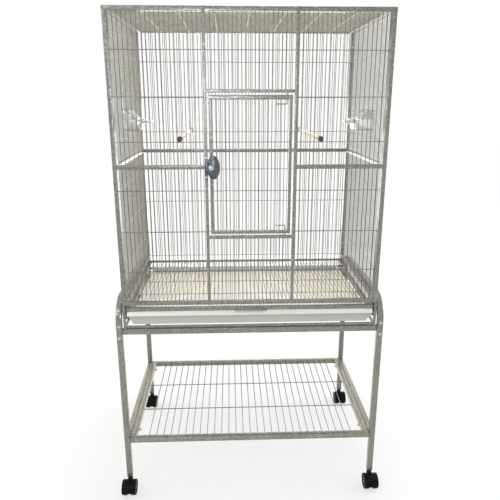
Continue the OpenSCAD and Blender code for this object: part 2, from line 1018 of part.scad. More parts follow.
// Loop in front of the cup, for the bird to perch on
module cup_loop() {
  z = cup_rim_h - loop_h - loop_drop;
  root = cup_d - cup_t;
  translate([-cup_d - loop_reach, -(cup_w + loop_w) / 2, z])
    difference() {
      cube([loop_reach + cup_d - root + cup_t / 2, loop_w, loop_h]);
      translate([loop_bar, loop_bar, -1])
        cube([loop_reach - loop_bar - 1, loop_w - 2 * loop_bar, loop_h + 2]);
    }
}

function hook_y(i) = gap_at(cup_y + i * hook_span / 2 * wire_pitch, -side_l / 2 + tube, side_l / 2 - tube);

// Hook from the back plate over the cross wire
module cup_hook(i) {
  wire_x = half_w - cross_y;
  lip_x = wire_x + wire_d / 2 + lip_gap;
  top = cup_wire_z + wire_d / 2 + running;
  foot = cup_floor + cup_h - lip_h;
  translate([cup_back - cup_t, hook_y(i) - hook_w / 2, 0]) {
    translate([0, 0, foot])
      cube([cup_t, hook_w, top + hook_t - foot]);
    translate([0, 0, top])
      cube([lip_x + hook_t - cup_back + cup_t, hook_w, hook_t]);
    translate([lip_x - cup_back + cup_t, 0, top - lip_h])
      cube([hook_t, hook_w, lip_h + hook_t]);
  }
}

module cup_left() {
  part(clear)
    mirror([1, 0, 0])
      cup();
}

module cup_right() {
  part(clear)
    cup();
}

// Section of the hood's outside: flat by the wall, then sloping down to the bowl
function hood_outline(i) = [
  [-1, cup_rim_h], [hood_d - i, cup_rim_h], [hood_d - i, cup_rim_h + hood_front_h - i / 2],
  [hood_flat - i / 2, cup_h - i], [-1, cup_h - i]
];

module hood() {
  translate([cup_back - cup_t, cup_y + cup_w / 2, cup_floor])
    difference() {
      rotate([90, 0, 0])
        linear_extrude(cup_w)
          mirror([1, 0])
            intersection() {
              polygon(hood_outline(0));
              square([cup_d, cup_h]);
            }
      translate([0, -cup_t, -1])
        rotate([90, 0, 0])
          linear_extrude(cup_w - 2 * cup_t)
            mirror([1, 0])
              polygon(hood_outline(cup_t));
      translate([-hood_d + cup_t, -cup_w + cup_t, cup_rim_h - 1])
        cube([hood_d - cup_t + 1, cup_w - 2 * cup_t, 2]);
    }
}

module cup_hood_left() {
  part(clear)
    mirror([1, 0, 0])
      hood();
}

module cup_hood_right() {
  part(clear)
    hood();
}

// ---- Stand ----

// Flat outline of an arch, above its joints with the legs
module arch_outline(half, top, r, foot) {
  intersection() {
    union() {
      translate([-half, foot])
        square([2 * half, top - r - foot]);
      translate([-half + r, foot])
        square([2 * (half - r), top - foot]);
      for (x = [-half + r, half - r])
        translate([x, top - r])
          circle(r = r, $fn = big_fn);
    }
    translate([-half, foot])
      square([2 * half, top - foot]);
  }
}

// Band between the arch's outer and inner faces, or the hollow inside it
module arch_band(inset, depth, drop = 0) {
  half = leg_y + leg_tube / 2;
  t = leg_tube;
  translate([-depth / 2, 0, 0])
    rotate([90, 0, 90])
      linear_extrude(depth)
        difference() {
          arch_outline(half - inset, arch_top - inset, arch_r - inset, joint_z - drop);
          arch_outline(half - t + inset, arch_top - t + inset, arch_r - t + inset, joint_z - drop - 1);
        }
}

module arch(side) {
  part(coat)
    difference() {
      translate([side * leg_x, 0, 0])
        arch_band(0, leg_tube);
      translate([side * leg_x, 0, 0])
        arch_band(leg_wall, leg_tube - 2 * leg_wall, 1);
      leg_screw_holes();
    }
}

module arch_left() {
  arch(-1);
}

module arch_right() {
  arch(1);
}

module leg(side, end) {
  inner = leg_tube - 2 * leg_wall;
  part(coat)
    difference() {
      translate([side * leg_x - leg_tube / 2, end * leg_y - leg_tube / 2, caster_h])
        cube([leg_tube, leg_tube, joint_z - caster_h]);
      translate([side * leg_x - inner / 2, end * leg_y - inner / 2, caster_h - 1])
        cube([inner, inner, joint_z - caster_h + 2]);
      leg_screw_holes();
    }
}

module leg_front_left() {
  leg(-1, -1);
}

module leg_front_right() {
  leg(1, -1);
}

module leg_back_left() {
  leg(-1, 1);
}

module leg_back_right() {
  leg(1, 1);
}

leg_screw_d = 5;
leg_screw_step = 20;
leg_screw_l = 5;
leg_head_d = 9.5;
leg_head_face = 6;
sleeve_fit = 0.2;
sleeve_t = 1.5;
// How far the sleeves reach past the start of the arches' bends
sleeve_past = 4;

module at_leg_screws() {
  for (x = [-1, 1], turn = [0, 180], z = [-1, 1])
    rotate([0, 0, turn])
      translate([x * leg_x, -leg_y - leg_tube / 2, joint_z + z * leg_screw_step])
        rotate([-90, 0, 0])
          children();
}

module leg_screw_holes() {
  at_leg_screws()
    translate([0, 0, -1])
      cylinder(d = leg_screw_d + 2 * running, h = leg_tube / 2);
}

// Sleeves that join the arches to the legs; each one ends where its arch starts to bend
module leg_sleeves() {
  outer = leg_tube - 2 * (leg_wall + sleeve_fit);
  inner = outer - 2 * sleeve_t;
  up = arch_top - arch_r - joint_z + sleeve_past;
  l = up + sleeve_down;
  part(zinc)
    difference() {
      for (x = [-1, 1], y = [-1, 1])
        translate([x * leg_x, y * leg_y, joint_z + up - l / 2])
          difference() {
            cube([outer, outer, l], center = true);
            cube([inner, inner, l + 1], center = true);
          }
      leg_screw_holes();
    }
}

module leg_screws() {
  part(bright)
    at_leg_screws() {
      cylinder(d = leg_screw_d, h = leg_screw_l);
      translate([0, 0, -leg_head_t])
        cylinder(d1 = leg_head_face, d2 = leg_head_d, h = leg_head_t);
    }
}

rail_half = leg_x - leg_tube / 2;
// How far the rails' face stands in front of the walls
rail_proud = 2;

// Rail between the legs, under the cage's front or back edge
module stand_rail(end) {
  part(coat)
    mirror([0, end, 0])
      translate([0, -half_d - rail_proud, stand_h - leg_tube])
        tube_bar([-rail_half, 0, 0], [rail_half, leg_tube, leg_tube], leg_wall);
}

module stand_front_rail() {
  stand_rail(0);
}

module stand_back_rail() {
  stand_rail(1);
}

// Rails between the front and back legs, beside the shelf
module stand_side_rails() {
  y = leg_y - leg_tube / 2;
  part(coat)
    difference() {
      for (side = [0, 1])
        mirror([side, 0, 0])
          tube_bar([rail_half, -y, shelf_top - shelf_tube], [rail_half + shelf_tube, y, shelf_top], leg_wall);
      shelf_bolt_holes();
    }
}

// ---- Shelf ----

shelf_half = rail_half - shelf_gap;
// How far the shelf's ends stand back from the legs' faces
shelf_back = 2.5;
shelf_y = leg_y + leg_tube / 2 - shelf_back;
shelf_wire_d = 3;
shelf_mid = shelf_top - shelf_tube / 2;
shelf_margin = 38;

module shelf() {
  inner_x = shelf_half - shelf_tube;
  inner_y = shelf_y - shelf_tube;
  n = floor((inner_x - shelf_margin) / shelf_pitch);
  part(coat)
    difference() {
      union() {
        for (y = [-shelf_y, inner_y])
          tube_bar([-shelf_half, y, shelf_top - shelf_tube], [shelf_half, y + shelf_tube, shelf_top], leg_wall);
        for (x = [-shelf_half, inner_x])
          tube_bar([x, -inner_y, shelf_top - shelf_tube], [x + shelf_tube, inner_y, shelf_top], leg_wall);
        for (i = [-n:n])
          translate([i * shelf_pitch, -inner_y - bite, shelf_mid + shelf_wire_d / 2])
            rotate([-90, 0, 0])
              cylinder(d = shelf_wire_d, h = 2 * inner_y + 2 * bite, $fn = wire_fn);
        for (y = [-1, 1])
          translate([-inner_x - bite, y * inner_y / 3, shelf_mid - shelf_wire_d / 2 - wire_gap])
            rotate([0, 90, 0])
              cylinder(d = shelf_wire_d, h = 2 * inner_x + 2 * bite, $fn = wire_fn);
      }
      shelf_bolt_holes();
    }
}

shelf_bolt_d = 6;
shelf_bolt_over = 9;
shelf_head_d = 12;
shelf_head_face = 8;
shelf_head_t = 3;
shelf_nut_d = 11;
shelf_nut_h = 5;

module at_shelf_bolts() {
  for (side = [0, 1], y = [-shelf_bolt_y, shelf_bolt_y])
    mirror([side, 0, 0])
      translate([rail_half + shelf_tube, y, shelf_mid])
        rotate([0, -90, 0])
          children();
}

module shelf_bolt_holes() {
  at_shelf_bolts()
    translate([0, 0, -1])
      cylinder(d = shelf_bolt_d + 2 * running, h = 2 * shelf_tube + shelf_gap + 2);
}

// Bolts through the side rails and the shelf's frame, each with its nut inside
module shelf_bolts() {
  grip = 2 * shelf_tube + shelf_gap;
  part(zinc)
    at_shelf_bolts() {
      cylinder(d = shelf_bolt_d, h = grip + shelf_bolt_over);
      translate([0, 0, -shelf_head_t])
        cylinder(d1 = shelf_head_face, d2 = shelf_head_d, h = shelf_head_t);
      translate([0, 0, grip])
        cylinder(d = shelf_nut_d, h = shelf_nut_h, $fn = 6);
    }
}

// ---- Casters ----

hub_half = 6;
wheel_gap = 0.6;
stem_foot = 30;
// Height of the plugs inside the legs, their slack, and their flange
plug_h = 28;
plug_gap = 0.2;
flange_t = 2.5;
// Gap between the plug's flange and the boss that turns under it
turn_gap = 0.5;
boss_d = 17;

module at_casters() {
  for (x = [-1, 1], y = [-1, 1])
    translate([x * leg_x, y * leg_y, 0])
      children();
}

// Plug in each leg's foot with the stem that the caster turns on
module caster_stems() {
  plug = leg_tube - 2 * leg_wall - plug_gap;
  part(black)
    at_casters() {
      translate([-plug / 2, -plug / 2, caster_h])
        cube([plug, plug, plug_h]);
      translate([0, 0, stem_foot])
        cylinder(d = stem_d, h = caster_h - stem_foot);
      translate([0, 0, caster_h - flange_t])
        cylinder(d = boss_d, h = flange_t);
    }
}

// Hood over the wheels, the web between them and the boss round the stem
module housing(side, end) {
  width = 2 * (hub_half + wheel_gap + wheel_w);
  boss_h = caster_h - flange_t - turn_gap;
  // The web's rim stands inside the wheels' tread, and its back reaches past the stem
  rim = 3;
  past = 7;
  below = 4;
  part(black)
    translate([side * leg_x, end * leg_y, 0])
      difference() {
        union() {
          translate([-hub_half, -caster_trail, wheel_r])
            rotate([0, 90, 0])
              cylinder(r = wheel_r - rim, h = 2 * hub_half, $fn = mid_fn);
          translate([-hub_half, -caster_trail, stem_foot])
            cube([2 * hub_half, caster_trail + past, boss_h - stem_foot]);
          translate([0, 0, wheel_r + hood_r - rim])
            cylinder(d = boss_d, h = boss_h - wheel_r - hood_r + rim);
          intersection() {
            translate([-width / 2, -caster_trail, wheel_r])
              rotate([0, 90, 0])
                difference() {
                  cylinder(r = hood_r, h = width, $fn = big_fn);
                  translate([0, 0, -1])
                    cylinder(r = wheel_r + hood_gap, h = width + 2 * over, $fn = big_fn);
                }
            translate([-width, -caster_trail - hood_r - 1, wheel_r - below])
              cube([2 * width, 2 * hood_r + 2, 2 * hood_r]);
          }
        }
        translate([0, 0, stem_foot - 1])
          cylinder(d = stem_d + 2 * running, h = caster_h);
        translate([-width, -caster_trail, wheel_r])
          rotate([0, 90, 0])
            cylinder(d = axle_d + 2 * running, h = 2 * width);
      }
}

module axle(side, end) {
  l = 2 * (hub_half + wheel_gap + wheel_w) - 2;
  part(zinc)
    translate([side * leg_x - l / 2, end * leg_y - caster_trail, wheel_r])
      rotate([0, 90, 0])
        cylinder(d = axle_d, h = l);
}

// Wheel with a rounded tread and a dished outer face
module wheel() {
  r = wheel_r;
  // Chamfer of the tread, width and slope of the rim, depth of the dish, and the hub
  c = 2;
  rim = 6;
  slope = 1.5;
  dish = 2;
  hub = 4;
  bore = axle_d / 2 + running;
  rotate_extrude($fn = mid_fn)
    polygon([
      [bore, 0], [r - c, 0], [r, c], [r, wheel_w - c - 1], [r - c, wheel_w],
      [r - rim, wheel_w], [r - rim - slope, wheel_w - dish],
      [bore + hub + 1, wheel_w - dish], [bore + hub, wheel_w - 1], [bore, wheel_w - 1]
    ]);
}

module wheels(side, end) {
  part(black)
    translate([side * leg_x, end * leg_y - caster_trail, wheel_r])
      for (face = [0, 1])
        mirror([face, 0, 0])
          translate([hub_half + wheel_gap, 0, 0])
            rotate([0, 90, 0])
              wheel();
}

module caster_fl_housing() {
  housing(-1, -1);
}

module caster_fr_housing() {
  housing(1, -1);
}

module caster_bl_housing() {
  housing(-1, 1);
}

module caster_br_housing() {
  housing(1, 1);
}

module caster_fl_axle() {
  axle(-1, -1);
}

module caster_fr_axle() {
  axle(1, -1);
}

module caster_bl_axle() {
  axle(-1, 1);
}

module caster_br_axle() {
  axle(1, 1);
}

module caster_fl_wheels() {
  wheels(-1, -1);
}

module caster_fr_wheels() {
  wheels(1, -1);
}

module caster_bl_wheels() {
  wheels(-1, 1);
}

module caster_br_wheels() {
  wheels(1, 1);
}

front_left_bay();
front_right_bay();
front_over_door();
front_under_door();
back_panel();
left_panel();
right_panel();
roof_panel();
panel_bolts();
base_left();
base_right();
base_front_rail();
base_back();
tray_runners();
grate_runners();
tray();
floor_grate();
grate_pull();
door();
hinge_pin_top();
hinge_pin_bottom();
latch_knob();
latch_nut();
latch_spindle();
latch_tongue();
keeper();
keeper_screws();
perch_left();
perch_right();
perch_caps();
cup_left();
cup_right();
cup_hood_left();
cup_hood_right();
arch_left();
arch_right();
leg_front_left();
leg_front_right();
leg_back_left();
leg_back_right();
leg_sleeves();
leg_screws();
stand_front_rail();
stand_back_rail();
stand_side_rails();
shelf();
shelf_bolts();
caster_stems();
caster_fl_housing();
caster_fl_axle();
caster_fl_wheels();
caster_fr_housing();
caster_fr_axle();
caster_fr_wheels();
caster_bl_housing();
caster_bl_axle();
caster_bl_wheels();
caster_br_housing();
caster_br_axle();
caster_br_wheels();
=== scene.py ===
"""Looks of the flight cage: finishes, rounded tubes, welded wires, moulded casters and cups.

Metres throughout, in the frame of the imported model: Z up, the front faces -Y.
"""

import json
import math

import bmesh
import bpy
from mathutils import Matrix, Vector

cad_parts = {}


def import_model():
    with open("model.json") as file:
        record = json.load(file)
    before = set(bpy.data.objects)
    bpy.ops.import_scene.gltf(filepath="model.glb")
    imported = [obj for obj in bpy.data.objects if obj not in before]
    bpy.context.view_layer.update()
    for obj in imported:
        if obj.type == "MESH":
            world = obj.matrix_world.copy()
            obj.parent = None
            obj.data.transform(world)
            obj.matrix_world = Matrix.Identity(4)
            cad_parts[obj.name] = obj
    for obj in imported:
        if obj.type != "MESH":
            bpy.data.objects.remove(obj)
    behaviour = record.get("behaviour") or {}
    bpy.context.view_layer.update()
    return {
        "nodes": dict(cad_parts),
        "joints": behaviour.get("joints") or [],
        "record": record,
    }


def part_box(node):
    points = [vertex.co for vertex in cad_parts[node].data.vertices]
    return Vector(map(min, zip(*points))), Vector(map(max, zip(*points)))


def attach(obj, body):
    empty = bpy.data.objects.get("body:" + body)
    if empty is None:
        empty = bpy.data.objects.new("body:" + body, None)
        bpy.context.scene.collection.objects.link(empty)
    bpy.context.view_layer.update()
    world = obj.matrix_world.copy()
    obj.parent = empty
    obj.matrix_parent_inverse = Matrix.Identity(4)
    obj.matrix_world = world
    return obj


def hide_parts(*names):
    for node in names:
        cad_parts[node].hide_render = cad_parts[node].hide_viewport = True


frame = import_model()

MM = 0.001

# Tolerances, and how finely edges and wires are rounded
TINY = 0.01 * MM
CLOSE = 0.001 * MM
SHARP = math.radians(25)
EDGE_STEPS = 3
WIRE_SIDES = 8

# What the frame says of each node: its body, its material slot and its joints
RECORD = frame["record"]
BODY = {n: b for b, ns in RECORD["behaviour"]["bodies"].items() for n in ns}
SLOT = {s["node"]: s["material_slot"] for s in RECORD["subparts"]}
JOINT = {j["name"]: j for j in frame["joints"]}

# Sizes that the construction sets, in metres
TUBE = 12.7 * MM
STILE = 9.5 * MM
HEAD = 12.7 * MM
TUBE_EDGE = 1.6 * MM
BAR = 8 * MM
BAR_EDGE = 1.2 * MM
LEG_EDGE = 2.4 * MM
FLAT_EDGE = 0.8 * MM
WIRE_R = 1.05 * MM
PITCH = 12.7 * MM
MID_RAIL = 435 * MM
WALL_DROP = 50 * MM
LOW_CROSS_Z = 10 * MM
SIDE_BAR_Z = 3 * MM
CROSS_FIRST = 72 * MM
CROSS_PITCH = 127 * MM
ROOF_PITCH = 101.6 * MM
SHELF_PITCH = 25 * MM
SHELF_TUBE = 19 * MM
SHELF_WIRE_R = 1.5 * MM
SHELF_WIRE_MARGIN = 38 * MM
FOOT_BOLT_INSET = 90 * MM
RUNNER_W = 15 * MM
ARCH_R = 85 * MM
BEND_R = 4 * MM
CASTER_WEB = 6 * MM
AXLE_BORE_R = 3.05 * MM
STEM_BORE_R = 4.05 * MM
WELD_SINK = 0.25 * MM
WELD_L = 1.4 * MM
FLARE = 1.55
WIRE_DEPTH = TUBE * 2 / 3
CROSS_DEPTH = WIRE_DEPTH + 2 * WIRE_R - WELD_SINK

# Painted light and shade on the coat, piece by piece: above 0 painted paler and creamier as light, below 0
# painted darker as shade. The shelf's values are partly a paler, creamier coat and partly painted light on
# its lit tops
NO_PAINTED_LIGHT = 0.0
WIRES_PAINTED_SHADE = -0.5
SIDE_WIRES_PAINTED_LIGHT = 0.3
ROOF_WIRES_PAINTED_LIGHT = 1.0
SHELF_WIRES_PAINTED_SHADE = -1.3
SHELF_ENDS_PALE_AND_PAINTED_LIGHT = 0.2
SHELF_SIDES_PALE_AND_PAINTED_LIGHT = 0.9

HALF_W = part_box("back_panel")[1].x
BACK_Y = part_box("back_panel")[1].y
FRONT_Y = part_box("front_left_bay")[0].y
FOOT_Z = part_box("front_left_bay")[0].z
TOP_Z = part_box("front_left_bay")[1].z
WALL_H = TOP_Z - FOOT_Z
MID_Y = (FRONT_Y + BACK_Y) / 2
CROSS_ZS = [MID_RAIL + s * (CROSS_FIRST + i * CROSS_PITCH) for s in (-1, 1) for i in range(3)]


# ---- Shapes ----


class Shape:
    """Points and faces of one piece, gathered bit by bit, with painted light and shade for the coat at each
    point.
    """

    def __init__(self, matrix=None, bars=NO_PAINTED_LIGHT, wires=WIRES_PAINTED_SHADE):
        self.points = []
        self.faces = []
        self.painted_light = []
        # bars and wires: painted light and shade for this piece's tubes and wires; wires are painted darker
        # as shade unless a piece says otherwise
        self.bars = bars
        self.wires = wires
        self.matrix = matrix or Matrix.Identity(4)

    def rings(self, rings, loop=False, tone_and_painted_light=NO_PAINTED_LIGHT):
        """Skin over rings that all have the same number of points, capped unless they form a loop."""
        n = len(rings[0])
        starts = [len(self.points) + n * k for k in range(len(rings))]
        pairs = list(zip(starts, starts[1:]))
        if loop:
            pairs.append((starts[-1], starts[0]))
        for a, b in pairs:
            self.faces += [[a + i, a + (i + 1) % n, b + (i + 1) % n, b + i] for i in range(n)]
        if not loop:
            self.faces.append([starts[0] + i for i in reversed(range(n))])
            self.faces.append([starts[-1] + i for i in range(n)])
        self.points += [self.matrix @ Vector(p) for ring in rings for p in ring]
        self.painted_light += [tone_and_painted_light] * (n * len(rings))

    def object(self, name, smooth=50):
        """Blender object of the shape; the coat's material reads its painted light and shade."""
        mesh = bpy.data.meshes.new(name)
        mesh.from_pydata([tuple(p) for p in self.points], [], self.faces)
        tidy(mesh, smooth)
        # The attribute carries each point's painted light and shade to the coat
        mesh.attributes.new("tone_and_painted_light", "FLOAT", "POINT").data.foreach_set("value", self.painted_light)
        made = bpy.data.objects.new(name, mesh)
        bpy.context.scene.collection.objects.link(made)
        return made


def tidy(mesh, smooth):
    """Outward normals, and smooth shading up to an angle in degrees."""
    work = bmesh.new()
    work.from_mesh(mesh)
    bmesh.ops.recalc_face_normals(work, faces=work.faces)
    work.to_mesh(mesh)
    work.free()
    mesh.polygons.foreach_set("use_smooth", [True] * len(mesh.polygons))
    mesh.set_sharp_from_angle(angle=math.radians(smooth))


def rounded(w, h, r):
    """Outline of a w by h rectangle with rounded corners, round the origin."""
    r = min(r, w / 2 - CLOSE, h / 2 - CLOSE)
    outline = []
    for k, (sx, sy) in enumerate([(1, 1), (-1, 1), (-1, -1), (1, -1)]):
        for i in range(EDGE_STEPS + 1):
            a = math.radians(90 * (k + i / EDGE_STEPS))
            outline.append((sx * (w / 2 - r) + r * math.cos(a), sy * (h / 2 - r) + r * math.sin(a)))
    return outline


def circle(r, sides):
    """Points round the origin."""
    turns = [2 * math.pi * i / sides for i in range(sides)]
    return [(r * math.cos(a), r * math.sin(a)) for a in turns]


def bar(shape, lo, hi, axis, edge=TUBE_EDGE):
    """Tube between two corners, with its long edges rounded."""
    b, c = [i for i in range(3) if i != axis]
    mid = [(lo[i] + hi[i]) / 2 for i in range(3)]
    rings = []
    for end in (lo[axis], hi[axis]):
        ring = []
        for p, q in rounded(hi[b] - lo[b], hi[c] - lo[c], edge):
            point = [0, 0, 0]
            point[axis], point[b], point[c] = end, mid[b] + p, mid[c] + q
            ring.append(point)
        rings.append(ring)
    # Painted light and shade for the piece's tubes
    shape.rings(rings, tone_and_painted_light=shape.bars)


def rod(shape, a, b, r=WIRE_R):
    """Wire between two points, flared where it is welded at its ends."""
    a, b = Vector(a), Vector(b)
    along = (b - a).normalized()
    side = along.orthogonal().normalized()
    up = along.cross(side)
    length = (b - a).length
    stations = [(0, r * FLARE), (WELD_L, r), (length - WELD_L, r), (length, r * FLARE)]
    rings = [
        [a + along * d + side * p + up * q for p, q in circle(radius, WIRE_SIDES)]
        for d, radius in stations
    ]
    # Painted light and shade for the piece's wires
    shape.rings(rings, tone_and_painted_light=shape.wires)


def sweep(shape, path, outline, normal):
    """Outline swept along a flat path; normal is square to the path's plane."""
    path = [Vector(p) for p in path]
    normal = Vector(normal).normalized()
    rings = []
    last = len(path) - 1
    for i, p in enumerate(path):
        before, after = path[max(i - 1, 0)], path[min(i + 1, last)]
        t_in = (p - before).normalized() if (p - before).length else (after - p).normalized()
        t_out = (after - p).normalized() if (after - p).length else t_in
        tangent = (t_in + t_out).normalized()
        stretch = 1 / max(0.5, tangent.dot(t_in))
        side = tangent.cross(normal).normalized()
        rings.append([p + side * u * stretch + normal * v for u, v in outline])
    shape.rings(rings)


def bent(corners, radius, steps=8):
    """Path through corners, with each inner corner rounded to a radius."""
    corners = [Vector(c) for c in corners]
    path = [corners[0]]
    for before, here, after in zip(corners, corners[1:], corners[2:]):
        a, b = (before - here).normalized(), (after - here).normalized()
        half = a.angle(b) / 2
        reach = radius / math.tan(half)
        centre = here + (a + b).normalized() * radius / math.sin(half)
        start, end = here + a * reach - centre, here + b * reach - centre
        turn = start.angle(end)
        for i in range(steps + 1):
            part = turn * i / steps
            path.append(centre + (start * math.sin(turn - part) + end * math.sin(part)) / math.sin(turn))
    return path + [corners[-1]]


def lathe(shape, profile, centre, axis, sides, squash=(1, 1)):
    """Profile of (radius, distance along the axis) turned about an axis.

    Squash scales the two directions across the axis.
    """
    axis = Vector(axis).normalized()
    side = Vector((1, 0, 0)) if abs(axis.x) < 0.9 else Vector((0, 1, 0))
    side = (side - axis * side.dot(axis)).normalized()
    up = axis.cross(side) * squash[1]
    side = side * squash[0]
    centre = Vector(centre)
    shape.rings([
        [centre + axis * d + side * p + up * q for p, q in circle(max(r, TINY), sides)]
        for r, d in profile
    ])


def hollow_lathe(shape, profile, centre, axis, sides):
    """Closed profile turned about an axis, with a hole through it."""
    axis = Vector(axis)
    side = Vector((0, 0, 1)) if abs(axis.z) < 0.9 else Vector((1, 0, 0))
    up = axis.cross(side)
    rings = [
        [Vector(centre) + (side * p + up * q) * r + axis * d for r, d in profile]
        for p, q in circle(1, sides)
    ]
    shape.rings(rings, loop=True)


def arc(centre, r, start, end, steps):
    """Points on an arc, in degrees."""
    turns = [math.radians(start + (end - start) * i / steps) for i in range(steps + 1)]
    return [(centre[0] + r * math.cos(a), centre[1] + r * math.sin(a)) for a in turns]


def dome(r, rise, steps, foot, inset=0.0):
    """Profile of a quarter ellipse, from its rim at the foot up to its crown."""
    return [(inset + r * p, foot + rise * q) for p, q in arc((0, 0), 1, 0, 90, steps)]


def skin(node, shape, smooth=50):
    """The shape stands for a CAD node, on its body and in its material slot."""
    made = shape.object(node + "_skin", smooth) if isinstance(shape, Shape) else shape
    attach(made, BODY[node])
    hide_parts(node)
    made.data.materials.clear()
    made.data.materials.append(MATERIAL[SLOT[node]])
    return made


def soften(node, width, shortest=3 * MM):
    """A copy of a CAD node's mesh with its long sharp edges rounded."""
    mesh = frame["nodes"][node].data.copy()
    work = bmesh.new()
    work.from_mesh(mesh)
    bmesh.ops.remove_doubles(work, verts=work.verts, dist=CLOSE)
    bmesh.ops.dissolve_limit(work, angle_limit=math.radians(0.5), verts=work.verts, edges=work.edges)
    edges = [
        e for e in work.edges
        if len(e.link_faces) == 2 and e.calc_length() > shortest and e.calc_face_angle(0) > SHARP
    ]
    bmesh.ops.bevel(
        work, geom=edges, offset=width, segments=2, profile=0.5, affect="EDGES", clamp_overlap=True
    )
    work.to_mesh(mesh)
    work.free()
    tidy(mesh, 35)
    made = bpy.data.objects.new(node + "_skin", mesh)
    bpy.context.scene.collection.objects.link(made)
    return skin(node, made)


# ---- Materials ----


def nodes_of(name):
    """New material, its node tree and its Principled shader."""
    made = bpy.data.materials.new(name)
    made.use_nodes = True
    tree = made.node_tree
    return made, tree, tree.nodes["Principled BSDF"]


def coordinates(tree, scale=(1, 1, 1)):
    """Object coordinates, stretched by a scale."""
    source = tree.nodes.new("ShaderNodeTexCoord")
    mapping = tree.nodes.new("ShaderNodeMapping")
    mapping.inputs["Scale"].default_value = scale
    tree.links.new(source.outputs["Object"], mapping.inputs["Vector"])
    return mapping.outputs["Vector"]


def noise(tree, vector, scale, detail, roughness=0.5):
    """Noise from 0 to 1."""
    made = tree.nodes.new("ShaderNodeTexNoise")
    made.inputs["Scale"].default_value = scale
    made.inputs["Detail"].default_value = detail
    made.inputs["Roughness"].default_value = roughness
    tree.links.new(vector, made.inputs["Vector"])
    return made.outputs["Fac"]


def cells(tree, vector, scale):
    """Distance to the nearest cell's middle."""
    made = tree.nodes.new("ShaderNodeTexVoronoi")
    made.feature = "SMOOTH_F1"
    made.inputs["Scale"].default_value = scale
    tree.links.new(vector, made.inputs["Vector"])
    return made.outputs["Distance"]


def ramp(tree, factor, stops):
    """Colours at places from 0 to 1."""
    made = tree.nodes.new("ShaderNodeValToRGB")
    elements = made.color_ramp.elements
    while len(elements) < len(stops):
        elements.new(0.5)
    for element, (place, colour) in zip(elements, stops):
        element.position = place
        element.color = (*colour, 1)
    tree.links.new(factor, made.inputs["Fac"])
    return made.outputs["Color"]


def mapped(tree, value, source, target):
    """A value in one range, given as a pair, mapped to another."""
    made = tree.nodes.new("ShaderNodeMapRange")
    made.inputs["From Min"].default_value, made.inputs["From Max"].default_value = source
    made.inputs["To Min"].default_value, made.inputs["To Max"].default_value = target
    tree.links.new(value, made.inputs["Value"])
    return made.outputs["Result"]


def spread(tree, factor, low, high):
    """A value from 0 to 1 spread between low and high."""
    return mapped(tree, factor, (0, 1), (low, high))


def socket(sockets, name, kind):
    """A Mix node's socket for colours (RGBA) or numbers (VALUE), which share their names."""
    return next(s for s in sockets if s.name == name and s.type == kind)


def multiplied(tree, first, second, factor=1.0):
    """First colour times the second, by a factor."""
    made = tree.nodes.new("ShaderNodeMix")
    made.data_type = "RGBA"
    made.blend_type = "MULTIPLY"
    socket(made.inputs, "Factor", "VALUE").default_value = factor
    tree.links.new(first, socket(made.inputs, "A", "RGBA"))
    tree.links.new(second, socket(made.inputs, "B", "RGBA"))
    return socket(made.outputs, "Result", "RGBA")


def tinted(tree, factor, colour):
    """White where the factor is 0 or less, and the colour where it is 1."""
    made = tree.nodes.new("ShaderNodeMix")
    made.data_type = "RGBA"
    socket(made.inputs, "A", "RGBA").default_value = (1, 1, 1, 1)
    socket(made.inputs, "B", "RGBA").default_value = (*colour, 1)
    tree.links.new(factor, socket(made.inputs, "Factor", "VALUE"))
    return socket(made.outputs, "Result", "RGBA")


def maths(tree, operation, first, second):
    """One operation on two values; the second may be a plain number."""
    made = tree.nodes.new("ShaderNodeMath")
    made.operation = operation
    tree.links.new(first, made.inputs[0])
    if isinstance(second, (int, float)):
        made.inputs[1].default_value = second
    else:
        tree.links.new(second, made.inputs[1])
    return made.outputs["Value"]


def bump(tree, shader, height, strength, distance, over=None):
    """Bumps from a height, on top of other bumps if they are given."""
    made = tree.nodes.new("ShaderNodeBump")
    made.inputs["Strength"].default_value = strength
    made.inputs["Distance"].default_value = distance
    tree.links.new(height, made.inputs["Height"])
    if over:
        tree.links.new(over, made.inputs["Normal"])
    tree.links.new(made.outputs["Normal"], shader.inputs["Normal"])
    return made.outputs["Normal"]


def hammered_coat():
    """Warm grey hammered powder coat: pebbled, with a fine metallic speckle."""
    made, tree, shader = nodes_of("hammered_powder_coat")
    place = coordinates(tree)
    pebbles = cells(tree, place, 200)
    patches = noise(tree, place, 240, 1)
    fine = noise(tree, place, 2600, 2)
    drift = noise(tree, place, 7, 3)
    base = ramp(tree, drift, [(0.3, (0.235, 0.23, 0.203)), (0.7, (0.272, 0.267, 0.235))])
    fleck = ramp(tree, pebbles, [(0.15, (0.5, 0.5, 0.52)), (0.6, (1.0, 1.0, 1.0))])
    # Random patches painted darker and brighter, a painted highlight speckle on the coat
    painted_sheen = ramp(tree, patches, [(0.4, (0.78, 0.78, 0.78)), (0.62, (1.25, 1.25, 1.25))])
    base = multiplied(tree, base, fleck, 0.8)
    base = multiplied(tree, base, painted_sheen)
    # Painted light and shade: points with values above 0 are painted paler and creamier as light, those
    # below 0 darker as shade
    tone_and_painted_light = tree.nodes.new("ShaderNodeAttribute")
    tone_and_painted_light.attribute_name = "tone_and_painted_light"
    above = tone_and_painted_light.outputs["Fac"]
    below = maths(tree, "MULTIPLY", above, -1)
    base = multiplied(tree, base, tinted(tree, above, (1.5, 1.46, 1.34)))
    base = multiplied(tree, base, tinted(tree, below, (0.38, 0.365, 0.345)))
    tree.links.new(base, shader.inputs["Base Color"])
    tree.links.new(spread(tree, fine, 0.2, 0.34), shader.inputs["Roughness"])
    shader.inputs["Metallic"].default_value = 0.55
    shader.inputs["Specular IOR Level"].default_value = 0.25
    shader.inputs["Coat Weight"].default_value = 0.3
    shader.inputs["Coat Roughness"].default_value = 0.08
    first = bump(tree, shader, pebbles, 0.8, 0.0008)
    tree.links.new(first, shader.inputs["Coat Normal"])
    bump(tree, shader, fine, 0.15, 0.0001, over=first)
    return made


